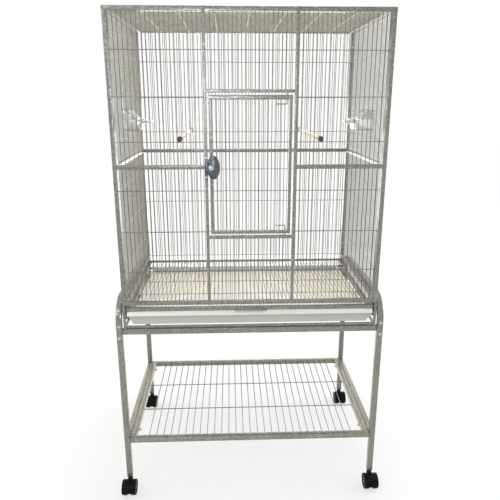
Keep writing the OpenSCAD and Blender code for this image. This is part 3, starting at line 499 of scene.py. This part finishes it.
def tray_coat():
    """Smooth pale coat on sheet metal, coloured by the way each face points: painted shade makes the
    front-facing plate greyest, and the up-facing pan is cream, partly painted light.
    """
    made, tree, shader = nodes_of("tray_powder_coat")
    place = coordinates(tree)
    drift = noise(tree, place, 5, 3)
    orange_peel = noise(tree, place, 900, 2)
    tone_and_painted_light = ramp(tree, drift, [(0.3, (0.96, 0.96, 0.95)), (0.7, (1.0, 1.0, 1.0))])
    # Painted light and shade by facing: faces that point to the front (-Y) are painted grey as shade, and
    # the others are paler up to the pan's cream
    split = tree.nodes.new("ShaderNodeSeparateXYZ")
    tree.links.new(tree.nodes.new("ShaderNodeNewGeometry").outputs["True Normal"], split.inputs[0])
    lean = mapped(tree, split.outputs["Y"], (-1, 0), (0, 1))
    plate, lip, pan = (0.57, 0.57, 0.55), (0.80, 0.79, 0.73), (0.89, 0.84, 0.73)
    shade = ramp(tree, lean, [(0.02, plate), (0.07, lip), (0.3, lip), (0.6, pan)])
    tree.links.new(multiplied(tree, shade, tone_and_painted_light), shader.inputs["Base Color"])
    tree.links.new(spread(tree, orange_peel, 0.32, 0.45), shader.inputs["Roughness"])
    bump(tree, shader, orange_peel, 0.12, 0.0002)
    return made


def latch_metal():
    """Dark blue-grey plating, with paler wear."""
    made, tree, shader = nodes_of("dark_plating")
    place = coordinates(tree)
    wear = noise(tree, place, 160, 4)
    grain = noise(tree, place, 1500, 2)
    base = ramp(tree, wear, [(0.35, (0.05, 0.056, 0.066)), (0.72, (0.13, 0.145, 0.165))])
    tree.links.new(base, shader.inputs["Base Color"])
    tree.links.new(spread(tree, grain, 0.22, 0.4), shader.inputs["Roughness"])
    shader.inputs["Metallic"].default_value = 0.8
    bump(tree, shader, grain, 0.15, 0.0001)
    return made


def bright_metal():
    """Polished plating with faint marks."""
    made, tree, shader = nodes_of("bright_plating")
    marks = noise(tree, coordinates(tree), 700, 3)
    base = ramp(tree, marks, [(0.3, (0.36, 0.42, 0.50)), (0.8, (0.46, 0.52, 0.60))])
    tree.links.new(base, shader.inputs["Base Color"])
    tree.links.new(spread(tree, marks, 0.18, 0.3), shader.inputs["Roughness"])
    shader.inputs["Metallic"].default_value = 1.0
    bump(tree, shader, marks, 0.08, 0.0001)
    return made


def zinc_steel():
    """Zinc-plated steel, dull with a spangle."""
    made, tree, shader = nodes_of("zinc_plated_steel")
    place = coordinates(tree)
    spangle = cells(tree, place, 500)
    grain = noise(tree, place, 1800, 2)
    base = ramp(tree, spangle, [(0.1, (0.44, 0.45, 0.47)), (0.7, (0.60, 0.61, 0.62))])
    tree.links.new(base, shader.inputs["Base Color"])
    tree.links.new(spread(tree, grain, 0.28, 0.42), shader.inputs["Roughness"])
    shader.inputs["Metallic"].default_value = 0.9
    bump(tree, shader, grain, 0.1, 0.0001)
    return made


def perch_wood():
    """Pale dowel with its grain along the perch."""
    made, tree, shader = nodes_of("dowel_wood")
    streaks = noise(tree, coordinates(tree, (260, 9, 260)), 1, 4, 0.6)
    pores = noise(tree, coordinates(tree, (1500, 60, 1500)), 1, 2)
    dark, mid, pale = (0.72, 0.62, 0.46), (0.80, 0.72, 0.57), (0.84, 0.78, 0.66)
    base = ramp(tree, streaks, [(0.3, dark), (0.55, mid), (0.75, pale)])
    tree.links.new(base, shader.inputs["Base Color"])
    tree.links.new(spread(tree, pores, 0.5, 0.7), shader.inputs["Roughness"])
    bump(tree, shader, pores, 0.3, 0.0003)
    return made


def cap_plastic():
    """Dark matt moulding."""
    made, tree, shader = nodes_of("dark_cap_plastic")
    grain = noise(tree, coordinates(tree), 1700, 3)
    base = ramp(tree, grain, [(0.3, (0.05, 0.032, 0.024)), (0.7, (0.075, 0.05, 0.04))])
    tree.links.new(base, shader.inputs["Base Color"])
    tree.links.new(spread(tree, grain, 0.45, 0.6), shader.inputs["Roughness"])
    bump(tree, shader, grain, 0.15, 0.0002)
    return made


def cup_plastic():
    """Clear moulded plastic, slightly green and a little hazy."""
    made, tree, shader = nodes_of("clear_cup_plastic")
    place = coordinates(tree)
    ripple = noise(tree, place, 60, 2)
    haze = noise(tree, place, 300, 3)
    tint = ramp(tree, ripple, [(0.2, (0.80, 0.82, 0.80)), (0.8, (0.88, 0.89, 0.88))])
    tree.links.new(tint, shader.inputs["Base Color"])
    tree.links.new(spread(tree, haze, 0.08, 0.22), shader.inputs["Roughness"])
    shader.inputs["IOR"].default_value = 1.49
    shader.inputs["Transmission Weight"].default_value = 0.85
    shader.inputs["Specular IOR Level"].default_value = 0.3
    bump(tree, shader, ripple, 0.15, 0.0008)
    return made


def caster_plastic():
    """Black moulded plastic with a soft shine."""
    made, tree, shader = nodes_of("black_caster_plastic")
    place = coordinates(tree)
    grain = noise(tree, place, 1300, 3)
    scuffs = noise(tree, place, 90, 4)
    base = ramp(tree, scuffs, [(0.45, (0.006, 0.005, 0.006)), (0.8, (0.018, 0.016, 0.017))])
    tree.links.new(base, shader.inputs["Base Color"])
    tree.links.new(spread(tree, grain, 0.26, 0.42), shader.inputs["Roughness"])
    shader.inputs["Specular IOR Level"].default_value = 0.05
    bump(tree, shader, grain, 0.12, 0.0002)
    return made


MATERIAL = {
    "powder_coat": hammered_coat(),
    "tray_coat": tray_coat(),
    "latch_metal": latch_metal(),
    "bright_metal": bright_metal(),
    "zinc_steel": zinc_steel(),
    "perch_wood": perch_wood(),
    "cap_plastic": cap_plastic(),
    "cup_plastic": cup_plastic(),
    "caster_plastic": caster_plastic(),
}

for name, node in frame["nodes"].items():
    node.data.materials.clear()
    node.data.materials.append(MATERIAL[SLOT[name]])


# ---- Wire walls ----


def gaps(span):
    """How many gaps between wires fit in a span."""
    return max(1, round(span / PITCH))


def uprights(shape, x0, x1, z0, z1):
    """Upright wires, evenly spread between two tubes."""
    n = gaps(x1 - x0)
    for i in range(1, n):
        x = x0 + (x1 - x0) * i / n
        rod(shape, (x, WIRE_DEPTH, z0), (x, WIRE_DEPTH, z1))


def cross(shape, x0, x1, z):
    """Wire across the upright wires, on their inner side."""
    rod(shape, (x0, CROSS_DEPTH, z), (x1, CROSS_DEPTH, z))


def tube(shape, x0, x1, z0, z1):
    """Tube of a wall's frame, along its longer side."""
    axis = 0 if x1 - x0 > z1 - z0 else 2
    bar(shape, (x0, 0, z0), (x1, TUBE, z1), axis)


def low_bar(shape, width, z):
    """Light bar in line with a wall's upright wires."""
    y = WIRE_DEPTH - BAR / 2
    bar(shape, (TUBE, y, z), (width - TUBE, y + BAR, z + BAR), 0, BAR_EDGE)


def wall(node, width, matrix):
    """Framed wall that reaches below the front wall's foot, which is at z 0; its outer face is at y 0."""
    # Painted shade on the back wall's wires, painted light on the side walls' wires
    shape = Shape(matrix, wires=WIRES_PAINTED_SHADE if node == "back_panel" else SIDE_WIRES_PAINTED_LIGHT)
    lo, hi = MID_RAIL - TUBE / 2, MID_RAIL + TUBE / 2
    low_bar(shape, width, -WALL_DROP)
    tube(shape, 0, width, WALL_H - TUBE, WALL_H)
    for x in (0, width - TUBE):
        tube(shape, x, x + TUBE, -WALL_DROP, WALL_H - TUBE)
    tube(shape, TUBE, width - TUBE, lo, hi)
    uprights(shape, TUBE, width - TUBE, BAR - WALL_DROP, lo)
    uprights(shape, TUBE, width - TUBE, hi, WALL_H - TUBE)
    for z in CROSS_ZS:
        cross(shape, TUBE, width - TUBE, z)
    if node == "back_panel":
        cross(shape, TUBE, width - TUBE, LOW_CROSS_Z)
    else:
        low_bar(shape, width, SIDE_BAR_Z)
    skin(node, shape)


def walls():
    """Back and side walls, each drawn along X and turned into its place."""
    side_l = BACK_Y - FRONT_Y - 2 * TUBE
    at = Matrix.Translation((0, MID_Y, FOOT_Z))
    half_d = (BACK_Y - FRONT_Y) / 2
    back = at @ Matrix.Rotation(math.pi, 4, "Z") @ Matrix.Translation((-HALF_W, -half_d, 0))
    wall("back_panel", 2 * HALF_W, back)
    for node, sign in (("left_panel", -1), ("right_panel", 1)):
        turn = Matrix.Rotation(sign * math.pi / 2, 4, "Z")
        wall(node, side_l, at @ turn @ Matrix.Translation((-side_l / 2, -HALF_W, 0)))


def infill(node, half, lower, upper):
    """Piece over or under the door: a lower tube and an upper tube, with wires between them."""
    shape = Shape(Matrix.Translation((0, FRONT_Y, FOOT_Z)))
    tube(shape, -half, half, *lower)
    tube(shape, -half, half, *upper)
    uprights(shape, -half, half, lower[1], upper[0])
    for z in CROSS_ZS:
        if lower[1] + STILE < z < upper[0] - STILE:
            cross(shape, -half, half, z)
    skin(node, shape)


def front():
    """Two bays, and the pieces over and under the door."""
    doorway = -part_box("front_left_bay")[1].x
    bay = doorway + STILE
    at = Matrix.Translation((0, FRONT_Y, FOOT_Z))
    lo, hi = MID_RAIL - TUBE / 2, MID_RAIL + TUBE / 2
    for node, sign in (("front_left_bay", 1), ("front_right_bay", -1)):
        shape = Shape(at @ Matrix.Diagonal((sign, 1, 1, 1)))
        for z in (0, WALL_H - TUBE):
            tube(shape, -HALF_W, -bay, z, z + TUBE)
        tube(shape, -HALF_W, -HALF_W + TUBE, TUBE, WALL_H - TUBE)
        tube(shape, -bay, -doorway, 0, WALL_H)
        tube(shape, -HALF_W + TUBE, -bay, lo, hi)
        uprights(shape, -HALF_W + TUBE, -bay, TUBE, lo)
        uprights(shape, -HALF_W + TUBE, -bay, hi, WALL_H - TUBE)
        for z in CROSS_ZS:
            cross(shape, -HALF_W + TUBE, -bay, z)
        skin(node, shape)
    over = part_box("front_over_door")[0].z - FOOT_Z
    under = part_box("front_under_door")[1].z - FOOT_Z
    infill("front_over_door", doorway, (over, over + STILE), (WALL_H - TUBE, WALL_H))
    infill("front_under_door", doorway, (0, TUBE), (under - STILE, under))


def roof():
    """Framed roof with wires along X, and cross wires under them."""
    lo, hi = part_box("roof_panel")
    # Painted light on the roof's wires
    shape = Shape(wires=ROOF_WIRES_PAINTED_LIGHT)
    for y in (lo.y, hi.y - TUBE):
        bar(shape, (lo.x, y, lo.z), (hi.x, y + TUBE, hi.z), 0)
    for x in (lo.x, hi.x - TUBE):
        bar(shape, (x, lo.y + TUBE, lo.z), (x + TUBE, hi.y - TUBE, hi.z), 1)
    span = hi.y - lo.y - 2 * TUBE
    n = gaps(span)
    z = hi.z - WIRE_DEPTH
    for i in range(1, n):
        y = lo.y + TUBE + span * i / n
        rod(shape, (lo.x + TUBE, y, z), (hi.x - TUBE, y, z))
    z = hi.z - CROSS_DEPTH
    m = int((hi.x - 2 * TUBE) / ROOF_PITCH)
    for i in range(-m, m + 1):
        x = i * ROOF_PITCH
        rod(shape, (x, lo.y + TUBE, z), (x, hi.y - TUBE, z))
    skin("roof_panel", shape)


def door():
    """Door frame with its wires."""
    lo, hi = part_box("door")
    half, height = hi.x, hi.z - lo.z
    shape = Shape(Matrix.Translation((0, lo.y, lo.z)))
    tube(shape, -half, half, 0, STILE)
    tube(shape, -half, half, height - HEAD, height)
    for x in (-half, half - STILE):
        tube(shape, x, x + STILE, STILE, height - HEAD)
    inner = half - STILE
    uprights(shape, -inner, inner, STILE, height - HEAD)
    sill = lo.z - FOOT_Z
    for z in CROSS_ZS:
        if sill + 2 * STILE < z < sill + height - 2 * HEAD:
            cross(shape, -inner, inner, z - sill)
    skin("door", shape)


def grate():
    """Floor grate: a tube in front, rods at the sides, a light bar behind, and wires."""
    lo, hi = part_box("floor_grate")
    rod_w, rod_edge = 4 * MM, 0.6 * MM
    foot, z = lo.z + 4 * MM, lo.z + 7.5 * MM
    sink = 0.2 * MM
    shape = Shape()
    y0, y1 = lo.y + TUBE, hi.y - BAR
    bar(shape, lo, (hi.x, y0, lo.z + TUBE), 0)
    for x in (lo.x, hi.x - rod_w):
        bar(shape, (x, y0, foot), (x + rod_w, y1, foot + rod_w), 1, rod_edge)
    bar(shape, (lo.x, y1, foot), (hi.x, hi.y, foot + BAR), 0, BAR_EDGE)
    x0, x1 = lo.x + rod_w, hi.x - rod_w
    n = gaps(x1 - x0)
    for i in range(1, n):
        x = x0 + (x1 - x0) * i / n
        rod(shape, (x, y0, z), (x, y1, z))
    under = z - 2 * WIRE_R + sink
    for i in range(1, math.ceil((y1 - PITCH - y0) / CROSS_PITCH)):
        y = y0 + i * CROSS_PITCH
        rod(shape, (x0, y, under), (x1, y, under))
    skin("floor_grate", shape)


def grate_pull():
    """Bent wire on the front of the grate."""
    lo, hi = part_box("grate_pull")
    r = (hi.z - lo.z) / 2
    z = lo.z + r
    left, right, near = lo.x + r, hi.x - r, lo.y + r
    corners = [(left, hi.y, z), (left, near, z), (right, near, z), (right, hi.y, z)]
    shape = Shape()
    sweep(shape, bent(corners, BEND_R), circle(r, 12), (0, 0, 1))
    skin("grate_pull", shape)


# ---- Base and stand ----


def base_sides():
    """Light bars at the foot, with posts that the walls and the front bays stand on."""
    inner = (BACK_Y - FRONT_Y) / 2 - 2 * TUBE
    gap = 2 * inner / gaps(2 * inner)
    reach = (BACK_Y - FRONT_Y) / 2 - FOOT_BOLT_INSET + inner
    post = (math.floor(reach / gap) + 0.5) * gap - inner
    for node, out in (("base_left", -1), ("base_right", 1)):
        lo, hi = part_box(node)
        edge = lo.x if out < 0 else hi.x
        shape = Shape()

        def piece(y0, y1, z0, z1, w, axis, rounding):
            """Bar or tube that is w wide, flush with the outer face."""
            xs = sorted((edge, edge - out * w))
            bar(shape, (xs[0], y0, z0), (xs[1], y1, z1), axis, rounding)

        top = lo.z + BAR
        under_wall = FOOT_Z - WALL_DROP
        piece(lo.y, hi.y, lo.z, top, BAR, 1, BAR_EDGE)
        piece(lo.y, lo.y + BAR, top, hi.z, BAR, 2, BAR_EDGE)
        piece(hi.y - TUBE, hi.y, top, under_wall, TUBE, 2, TUBE_EDGE)
        for y in (MID_Y - post, MID_Y + post):
            piece(y - TUBE / 2, y + TUBE / 2, top, under_wall, TUBE, 2, TUBE_EDGE)
        skin(node, shape)


def straight(node, axis, edge):
    """Node that is one straight bar, as long as its box."""
    shape = Shape()
    bar(shape, *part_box(node), axis, edge)
    skin(node, shape)


def rails():
    """Rails of the base and of the stand."""
    straight("base_front_rail", 0, FLAT_EDGE)
    straight("base_back", 0, BAR_EDGE)
    straight("stand_front_rail", 0, LEG_EDGE)
    straight("stand_back_rail", 0, LEG_EDGE)


def legs():
    """Four legs, below the arches."""
    for corner in ("front_left", "front_right", "back_left", "back_right"):
        straight("leg_" + corner, 2, LEG_EDGE)


def runners():
    """Bars under the tray, and the angles that the grate slides on."""
    lo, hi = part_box("tray_runners")
    shape = Shape()
    for y in (lo.y, MID_Y - RUNNER_W / 2, hi.y - RUNNER_W):
        bar(shape, (lo.x, y, lo.z), (hi.x, y + RUNNER_W, hi.z), 0, BAR_EDGE)
    skin("tray_runners", shape)
    soften("grate_runners", 0.4 * MM)


def arches():
    """Each arch is one bent square tube."""
    for node in ("arch_left", "arch_right"):
        lo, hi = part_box(node)
        t = hi.x - lo.x
        x, near, far, top = lo.x + t / 2, lo.y + t / 2, hi.y - t / 2, hi.z - t / 2
        corners = [(x, near, lo.z), (x, near, top), (x, far, top), (x, far, lo.z)]
        shape = Shape()
        sweep(shape, bent(corners, ARCH_R - t / 2, 20), rounded(t, t, LEG_EDGE), (1, 0, 0))
        skin(node, shape)


def shelf():
    """Framed wire shelf, and the stand's rails beside it."""
    lo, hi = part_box("shelf")
    # Shelf ends: a paler, creamier coat with some painted light; the shelf's wires are painted darker as
    # shade
    shape = Shape(bars=SHELF_ENDS_PALE_AND_PAINTED_LIGHT, wires=SHELF_WIRES_PAINTED_SHADE)
    t = SHELF_TUBE
    for y in (lo.y, hi.y - t):
        bar(shape, (lo.x, y, lo.z), (hi.x, y + t, hi.z), 0, LEG_EDGE)
    # Shelf sides: a paler, creamier coat with more painted light on their lit tops
    shape.bars = SHELF_SIDES_PALE_AND_PAINTED_LIGHT
    for x in (lo.x, hi.x - t):
        bar(shape, (x, lo.y + t, lo.z), (x + t, hi.y - t, hi.z), 1, LEG_EDGE)
    z = (lo.z + hi.z) / 2 + SHELF_WIRE_R
    n = int((hi.x - t - SHELF_WIRE_MARGIN) / SHELF_PITCH)
    for i in range(-n, n + 1):
        x = i * SHELF_PITCH
        rod(shape, (x, lo.y + t, z), (x, hi.y - t, z), SHELF_WIRE_R)
    z += WELD_SINK - 2 * SHELF_WIRE_R
    middle, inner = (lo.y + hi.y) / 2, (hi.y - lo.y) / 2 - t
    for y in (middle - inner / 3, middle + inner / 3):
        rod(shape, (lo.x + t, y, z), (hi.x - t, y, z), SHELF_WIRE_R)
    skin("shelf", shape)
    lo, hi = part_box("stand_side_rails")
    # Side rails: a paler, creamier coat with painted light on their lit tops
    shape = Shape(bars=SHELF_SIDES_PALE_AND_PAINTED_LIGHT)
    for x in (lo.x, hi.x - t):
        bar(shape, (x, lo.y, lo.z), (x + t, hi.y, hi.z), 1, LEG_EDGE)
    skin("stand_side_rails", shape)


# ---- Door furniture ----


def hinge_pins():
    """Two pins, each bent into a handle that points away from the door's middle."""
    for node, end in (("hinge_pin_top", 1), ("hinge_pin_bottom", -1)):
        lo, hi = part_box(node)
        r = (hi.y - lo.y) / 2
        y = lo.y + r
        elbow = (hi.x - r, y, lo.z + r if end > 0 else hi.z - r)
        tip = (hi.x - r, y, hi.z if end > 0 else lo.z)
        shape = Shape()
        sweep(shape, bent([(lo.x, y, elbow[2]), elbow, tip], BEND_R), circle(r, 14), (0, 1, 0))
        skin(node, shape)


def latch():
    """Oval knob with a rounded rim, its domed nut, and the strips that hold the door shut."""
    lo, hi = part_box("latch_knob")
    depth = hi.y - lo.y
    centre = ((lo.x + hi.x) / 2, hi.y, (lo.z + hi.z) / 2)
    w, h = (hi.x - lo.x) / 2, (hi.z - lo.z) / 2
    profile = [(0, 0), (0.97, 0), (1, 0.12 * depth)]
    profile += dome(0.14, 0.3 * depth, 6, 0.3 * depth, 0.86)
    profile += [(0.80, 0.66 * depth), (0.5, 0.86 * depth), (0, depth)]
    shape = Shape()
    lathe(shape, profile, centre, (0, -1, 0), 64, (w, h))
    skin("latch_knob", shape, 60)
    lo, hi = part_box("latch_nut")
    centre = ((lo.x + hi.x) / 2, hi.y, (lo.z + hi.z) / 2)
    r, t = (hi.x - lo.x) / 2, hi.y - lo.y
    profile = [(0, 0), (r * 0.96, 0), (r, 0.06 * t), (r, 0.16 * t)]
    profile += dome(r * 0.92, 0.8 * t, 10, 0.2 * t)
    shape = Shape()
    lathe(shape, profile, centre, (0, -1, 0), 48)
    skin("latch_nut", shape, 60)
    soften("latch_tongue", 0.4 * MM, 1.5 * MM)
    soften("keeper", 0.5 * MM, 1.2 * MM)


def cross_recess(made, places, size, depth):
    """Cuts a cross slot into the head of each screw; the screws lie along Y."""
    cutter = Shape()
    half = (size / 10, depth, size / 2)
    for place in places:
        for turn in (20, 110):
            cutter.matrix = Matrix.Translation(place) @ Matrix.Rotation(math.radians(turn), 4, "Y")
            bar(cutter, [-v for v in half], half, 2, TINY)
    blade = cutter.object(made.name + "_cutter")
    cut = made.modifiers.new("recess", "BOOLEAN")
    cut.operation = "DIFFERENCE"
    cut.object = blade
    cut.solver = "EXACT"
    cut.use_self = True
    bpy.context.view_layer.update()
    depsgraph = bpy.context.evaluated_depsgraph_get()
    mesh = bpy.data.meshes.new_from_object(made.evaluated_get(depsgraph))
    made.modifiers.clear()
    made.data = mesh
    bpy.data.objects.remove(blade)
    tidy(mesh, 40)


def leg_screws():
    """Pan heads with cross slots, on the front and back faces of the legs."""
    lo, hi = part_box("leg_screws")
    head, thick = 4.75 * MM, 2.2 * MM
    shank, sunk = 2.5 * MM, 5 * MM
    slot, slot_depth = 5 * MM, 1.1 * MM
    profile = [(shank, -sunk), (shank, 0), (head, 0)] + dome(head, 0.75 * thick, 6, 0.25 * thick)
    shape = Shape()
    places = []
    for x in (lo.x + head, hi.x - head):
        for z in (lo.z + head, hi.z - head):
            for y, out in ((lo.y, -1), (hi.y, 1)):
                lathe(shape, profile, (x, y - out * thick, z), (0, out, 0), 32)
                places.append((x, y, z))
    made = shape.object("leg_screws_skin", 60)
    cross_recess(made, places, slot, slot_depth)
    skin("leg_screws", made)


# ---- Perches and cups ----


def perches():
    """Dowels with chamfered ends, and their caps."""
    chamfer = 0.5 * MM
    for node in ("perch_left", "perch_right"):
        lo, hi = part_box(node)
        r, length = (hi.x - lo.x) / 2, hi.y - lo.y
        profile = [(0, 0), (r - chamfer, 0), (r, chamfer)]
        profile += [(r, length - chamfer), (r - chamfer, length), (0, length)]
        shape = Shape()
        lathe(shape, profile, (lo.x + r, lo.y, lo.z + r), (0, 1, 0), 32)
        skin(node, shape)
    soften("perch_caps", 0.8 * MM, 1.6 * MM)


def cups():
    """Moulded cups and their hoods."""
    for side in ("left", "right"):
        soften("cup_" + side, 0.7 * MM, 2 * MM)
        soften("cup_hood_" + side, 0.7 * MM, 2 * MM)


# ---- Casters ----


def caster_wheels(corner):
    """Pair of wheels with rounded treads and dished outer faces."""
    lo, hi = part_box(f"caster_{corner}_wheels")
    centre = (lo + hi) / 2
    r, inner = (hi.z - lo.z) / 2, CASTER_WEB + 0.6 * MM
    width = (hi.x - lo.x) / 2 - inner
    near_edge, far_edge = 2 * MM, 3 * MM
    profile = [(AXLE_BORE_R, 0), (r - near_edge, 0)]
    profile += arc((r - near_edge, near_edge), near_edge, -90, 0, 5)
    profile += arc((r - far_edge, width - far_edge), far_edge, 0, 90, 6)
    # Dish of the outer face, from its rim in to the hub
    dish = width - 1.9 * MM
    profile += [(r - 6 * MM, width), (r - 6.8 * MM, width - 0.3 * MM), (r - 7.4 * MM, dish)]
    profile += [(9.5 * MM, dish), (8.6 * MM, width - 0.8 * MM), (4.2 * MM, width - 0.5 * MM)]
    profile += [(AXLE_BORE_R, width - 1.2 * MM)]
    shape = Shape()
    for face in (-1, 1):
        ring = centre + Vector((face * inner, 0, 0))
        hollow_lathe(shape, profile, ring, (face, 0, 0), 56)
    skin(f"caster_{corner}_wheels", shape, 40)


def caster_housing(corner):
    """Curved hood over the wheels, a web between them, and a boss for the stem."""
    lo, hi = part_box(f"caster_{corner}_wheels")
    centre = (lo + hi) / 2
    r, half = (hi.z - lo.z) / 2, (hi.x - lo.x) / 2
    swivel = Vector(JOINT[f"swivel_{corner}"]["pos_m"])
    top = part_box(f"caster_{corner}_housing")[1].z
    hood_r, shell = r + 2.5 * MM, 1.9 * MM
    dip = math.degrees(math.asin(4 * MM / hood_r)) + 1
    turn = arc((centre.y, centre.z), hood_r - shell / 2, -dip, 180 + dip, 44)
    outline = [(v, u) for u, v in rounded(2 * half, shell, 0.9 * MM)]
    shape = Shape()
    sweep(shape, [(centre.x, y, z) for y, z in turn], outline, (1, 0, 0))
    web, web_r, edge = CASTER_WEB, r - 3 * MM, 0.5 * MM
    disc = [(0, -web), (web_r - edge, -web), (web_r, edge - web)]
    disc += [(web_r, web - edge), (web_r - edge, web), (0, web)]
    lathe(shape, disc, centre, (1, 0, 0), 48)
    neck_z, neck_reach = 30 * MM, 7 * MM
    below_top, neck_edge = 0.8 * MM, 1.2 * MM
    neck_lo = (centre.x - web, centre.y, neck_z)
    neck_hi = (centre.x + web, swivel.y + neck_reach, top - below_top)
    bar(shape, neck_lo, neck_hi, 1, neck_edge)
    boss_r, boss_h, rim = 8.5 * MM, 12 * MM, 1 * MM
    boss = [(STEM_BORE_R, top - boss_h), (boss_r, top - boss_h), (boss_r, top - rim)]
    boss += arc((boss_r - rim, top - rim), rim, 0, 90, 4) + [(STEM_BORE_R, top)]
    hollow_lathe(shape, boss, (swivel.x, swivel.y, 0), (0, 0, 1), 36)
    skin(f"caster_{corner}_housing", shape, 40)


walls()
front()
roof()
door()
grate()
grate_pull()
base_sides()
rails()
runners()
legs()
arches()
shelf()
hinge_pins()
latch()
leg_screws()
perches()
cups()
soften("tray", 0.5 * MM)
for corner in ("fl", "fr", "bl", "br"):
    caster_wheels(corner)
    caster_housing(corner)


# ---- Floor, light and camera ----

COOL = (0.78, 0.9, 1)
WARM = (1, 0.96, 0.89)


def seen(tree, path):
    """1 for a ray that shows a surface: from the camera, in a reflection or through a clear piece."""
    either = maths(tree, "MAXIMUM", path.outputs["Is Camera Ray"], path.outputs["Is Glossy Ray"])
    return maths(tree, "MAXIMUM", either, path.outputs["Is Transmission Ray"])


def backdrop_material():
    """White floor that looks white to the camera, and keeps the object's shadow."""
    made, tree, shader = nodes_of("white_floor")
    shader.inputs["Roughness"].default_value = 0.9
    shader.inputs["Specular IOR Level"].default_value = 0.1
    path = tree.nodes.new("ShaderNodeLightPath")
    bounced, shown = (0.5, 0.49, 0.47), (0.25, 0.25, 0.25)
    base = ramp(tree, path.outputs["Is Camera Ray"], [(0, bounced), (1, shown)])
    tree.links.new(base, shader.inputs["Base Color"])
    far = tree.nodes.new("ShaderNodeVectorMath")
    far.operation = "LENGTH"
    tree.links.new(coordinates(tree), far.inputs[0])
    glow = mapped(tree, far.outputs["Value"], (1.2, 4.0), (0.655, 0.8))
    shader.inputs["Emission Color"].default_value = (1, 1, 1, 1)
    tree.links.new(maths(tree, "MULTIPLY", seen(tree, path), glow), shader.inputs["Emission Strength"])
    return made


def floor():
    """Wide floor, just under the casters."""
    bpy.ops.mesh.primitive_plane_add(size=30, location=(0, 0, -0.5 * MM))
    made = bpy.context.object
    made.name = "floor"
    made.data.materials.append(backdrop_material())


def world():
    """World that looks white, and gives less light from the front (-Y)."""
    made = bpy.data.worlds.new("studio")
    bpy.context.scene.world = made
    made.use_nodes = True
    tree = made.node_tree
    background = tree.nodes["Background"]
    background.inputs["Color"].default_value = (1, 1, 1, 1)
    path = tree.nodes.new("ShaderNodeLightPath")
    split = tree.nodes.new("ShaderNodeSeparateXYZ")
    tree.links.new(tree.nodes.new("ShaderNodeTexCoord").outputs["Generated"], split.inputs[0])
    aside = mapped(tree, split.outputs["Y"], (-1, 1), (0, 1))
    dim, full = (0.3, 0.3, 0.3), (0.9, 0.9, 0.9)
    light = ramp(tree, aside, [(0.0, dim), (0.5, full), (1.0, full)])
    either = tree.nodes.new("ShaderNodeMix")
    tree.links.new(seen(tree, path), socket(either.inputs, "Factor", "VALUE"))
    tree.links.new(maths(tree, "MULTIPLY", light, 0.92), socket(either.inputs, "A", "VALUE"))
    socket(either.inputs, "B", "VALUE").default_value = 1
    tree.links.new(socket(either.outputs, "Result", "VALUE"), background.inputs["Strength"])


def lamp(name, place, target, size, power, colour=(1, 1, 1)):
    """Area lamp that points from a place to a target; power is in watts."""
    data = bpy.data.lights.new(name, "AREA")
    data.color = colour
    data.shape = "RECTANGLE"
    data.size, data.size_y = size
    data.energy = power
    made = bpy.data.objects.new(name, data)
    bpy.context.scene.collection.objects.link(made)
    made.location = place
    made.rotation_euler = (Vector(target) - Vector(place)).to_track_quat("-Z", "Y").to_euler()
    made.visible_camera = False


def camera():
    """The photo's viewpoint: before the cage and a little left, level with its upper half, looking down."""
    data = bpy.data.cameras.new("camera")
    data.sensor_width = 36
    data.lens = 37.71
    data.clip_start = 0.01
    made = bpy.data.objects.new("camera", data)
    bpy.context.scene.collection.objects.link(made)
    made.location = (-0.06114, -1.82171 + MID_Y, 1.31823)
    yaw, pitch = 0.0378, 0.28051
    made.rotation_euler = (math.pi / 2 - pitch, 0, -yaw)
    bpy.context.scene.camera = made


floor()
world()
lamp("front", (-0.2, -1.9, 1.36), (-0.1, 0, 1.3), (0.1, 0.1), 6, COOL)
lamp("key", (-1.3, -2.1, 2.3), (0, 0, 1.2), (0.8, 0.8), 13)
lamp("left", (-2.2, -0.2, 1.35), (0, 0, 0.7), (2.0, 1.7), 24, WARM)
lamp("right", (2.2, -0.2, 1.35), (0, 0, 0.7), (2.0, 1.7), 26, WARM)
lamp("top", (0.2, 0.2, 3.2), (0, 0, 0.6), (0.8, 0.8), 40)
lamp("back", (0, 2.8, 0.75), (0, 0, 1.0), (3.2, 1.1), 25)
camera()
bpy.context.scene.view_settings.view_transform = "Standard"
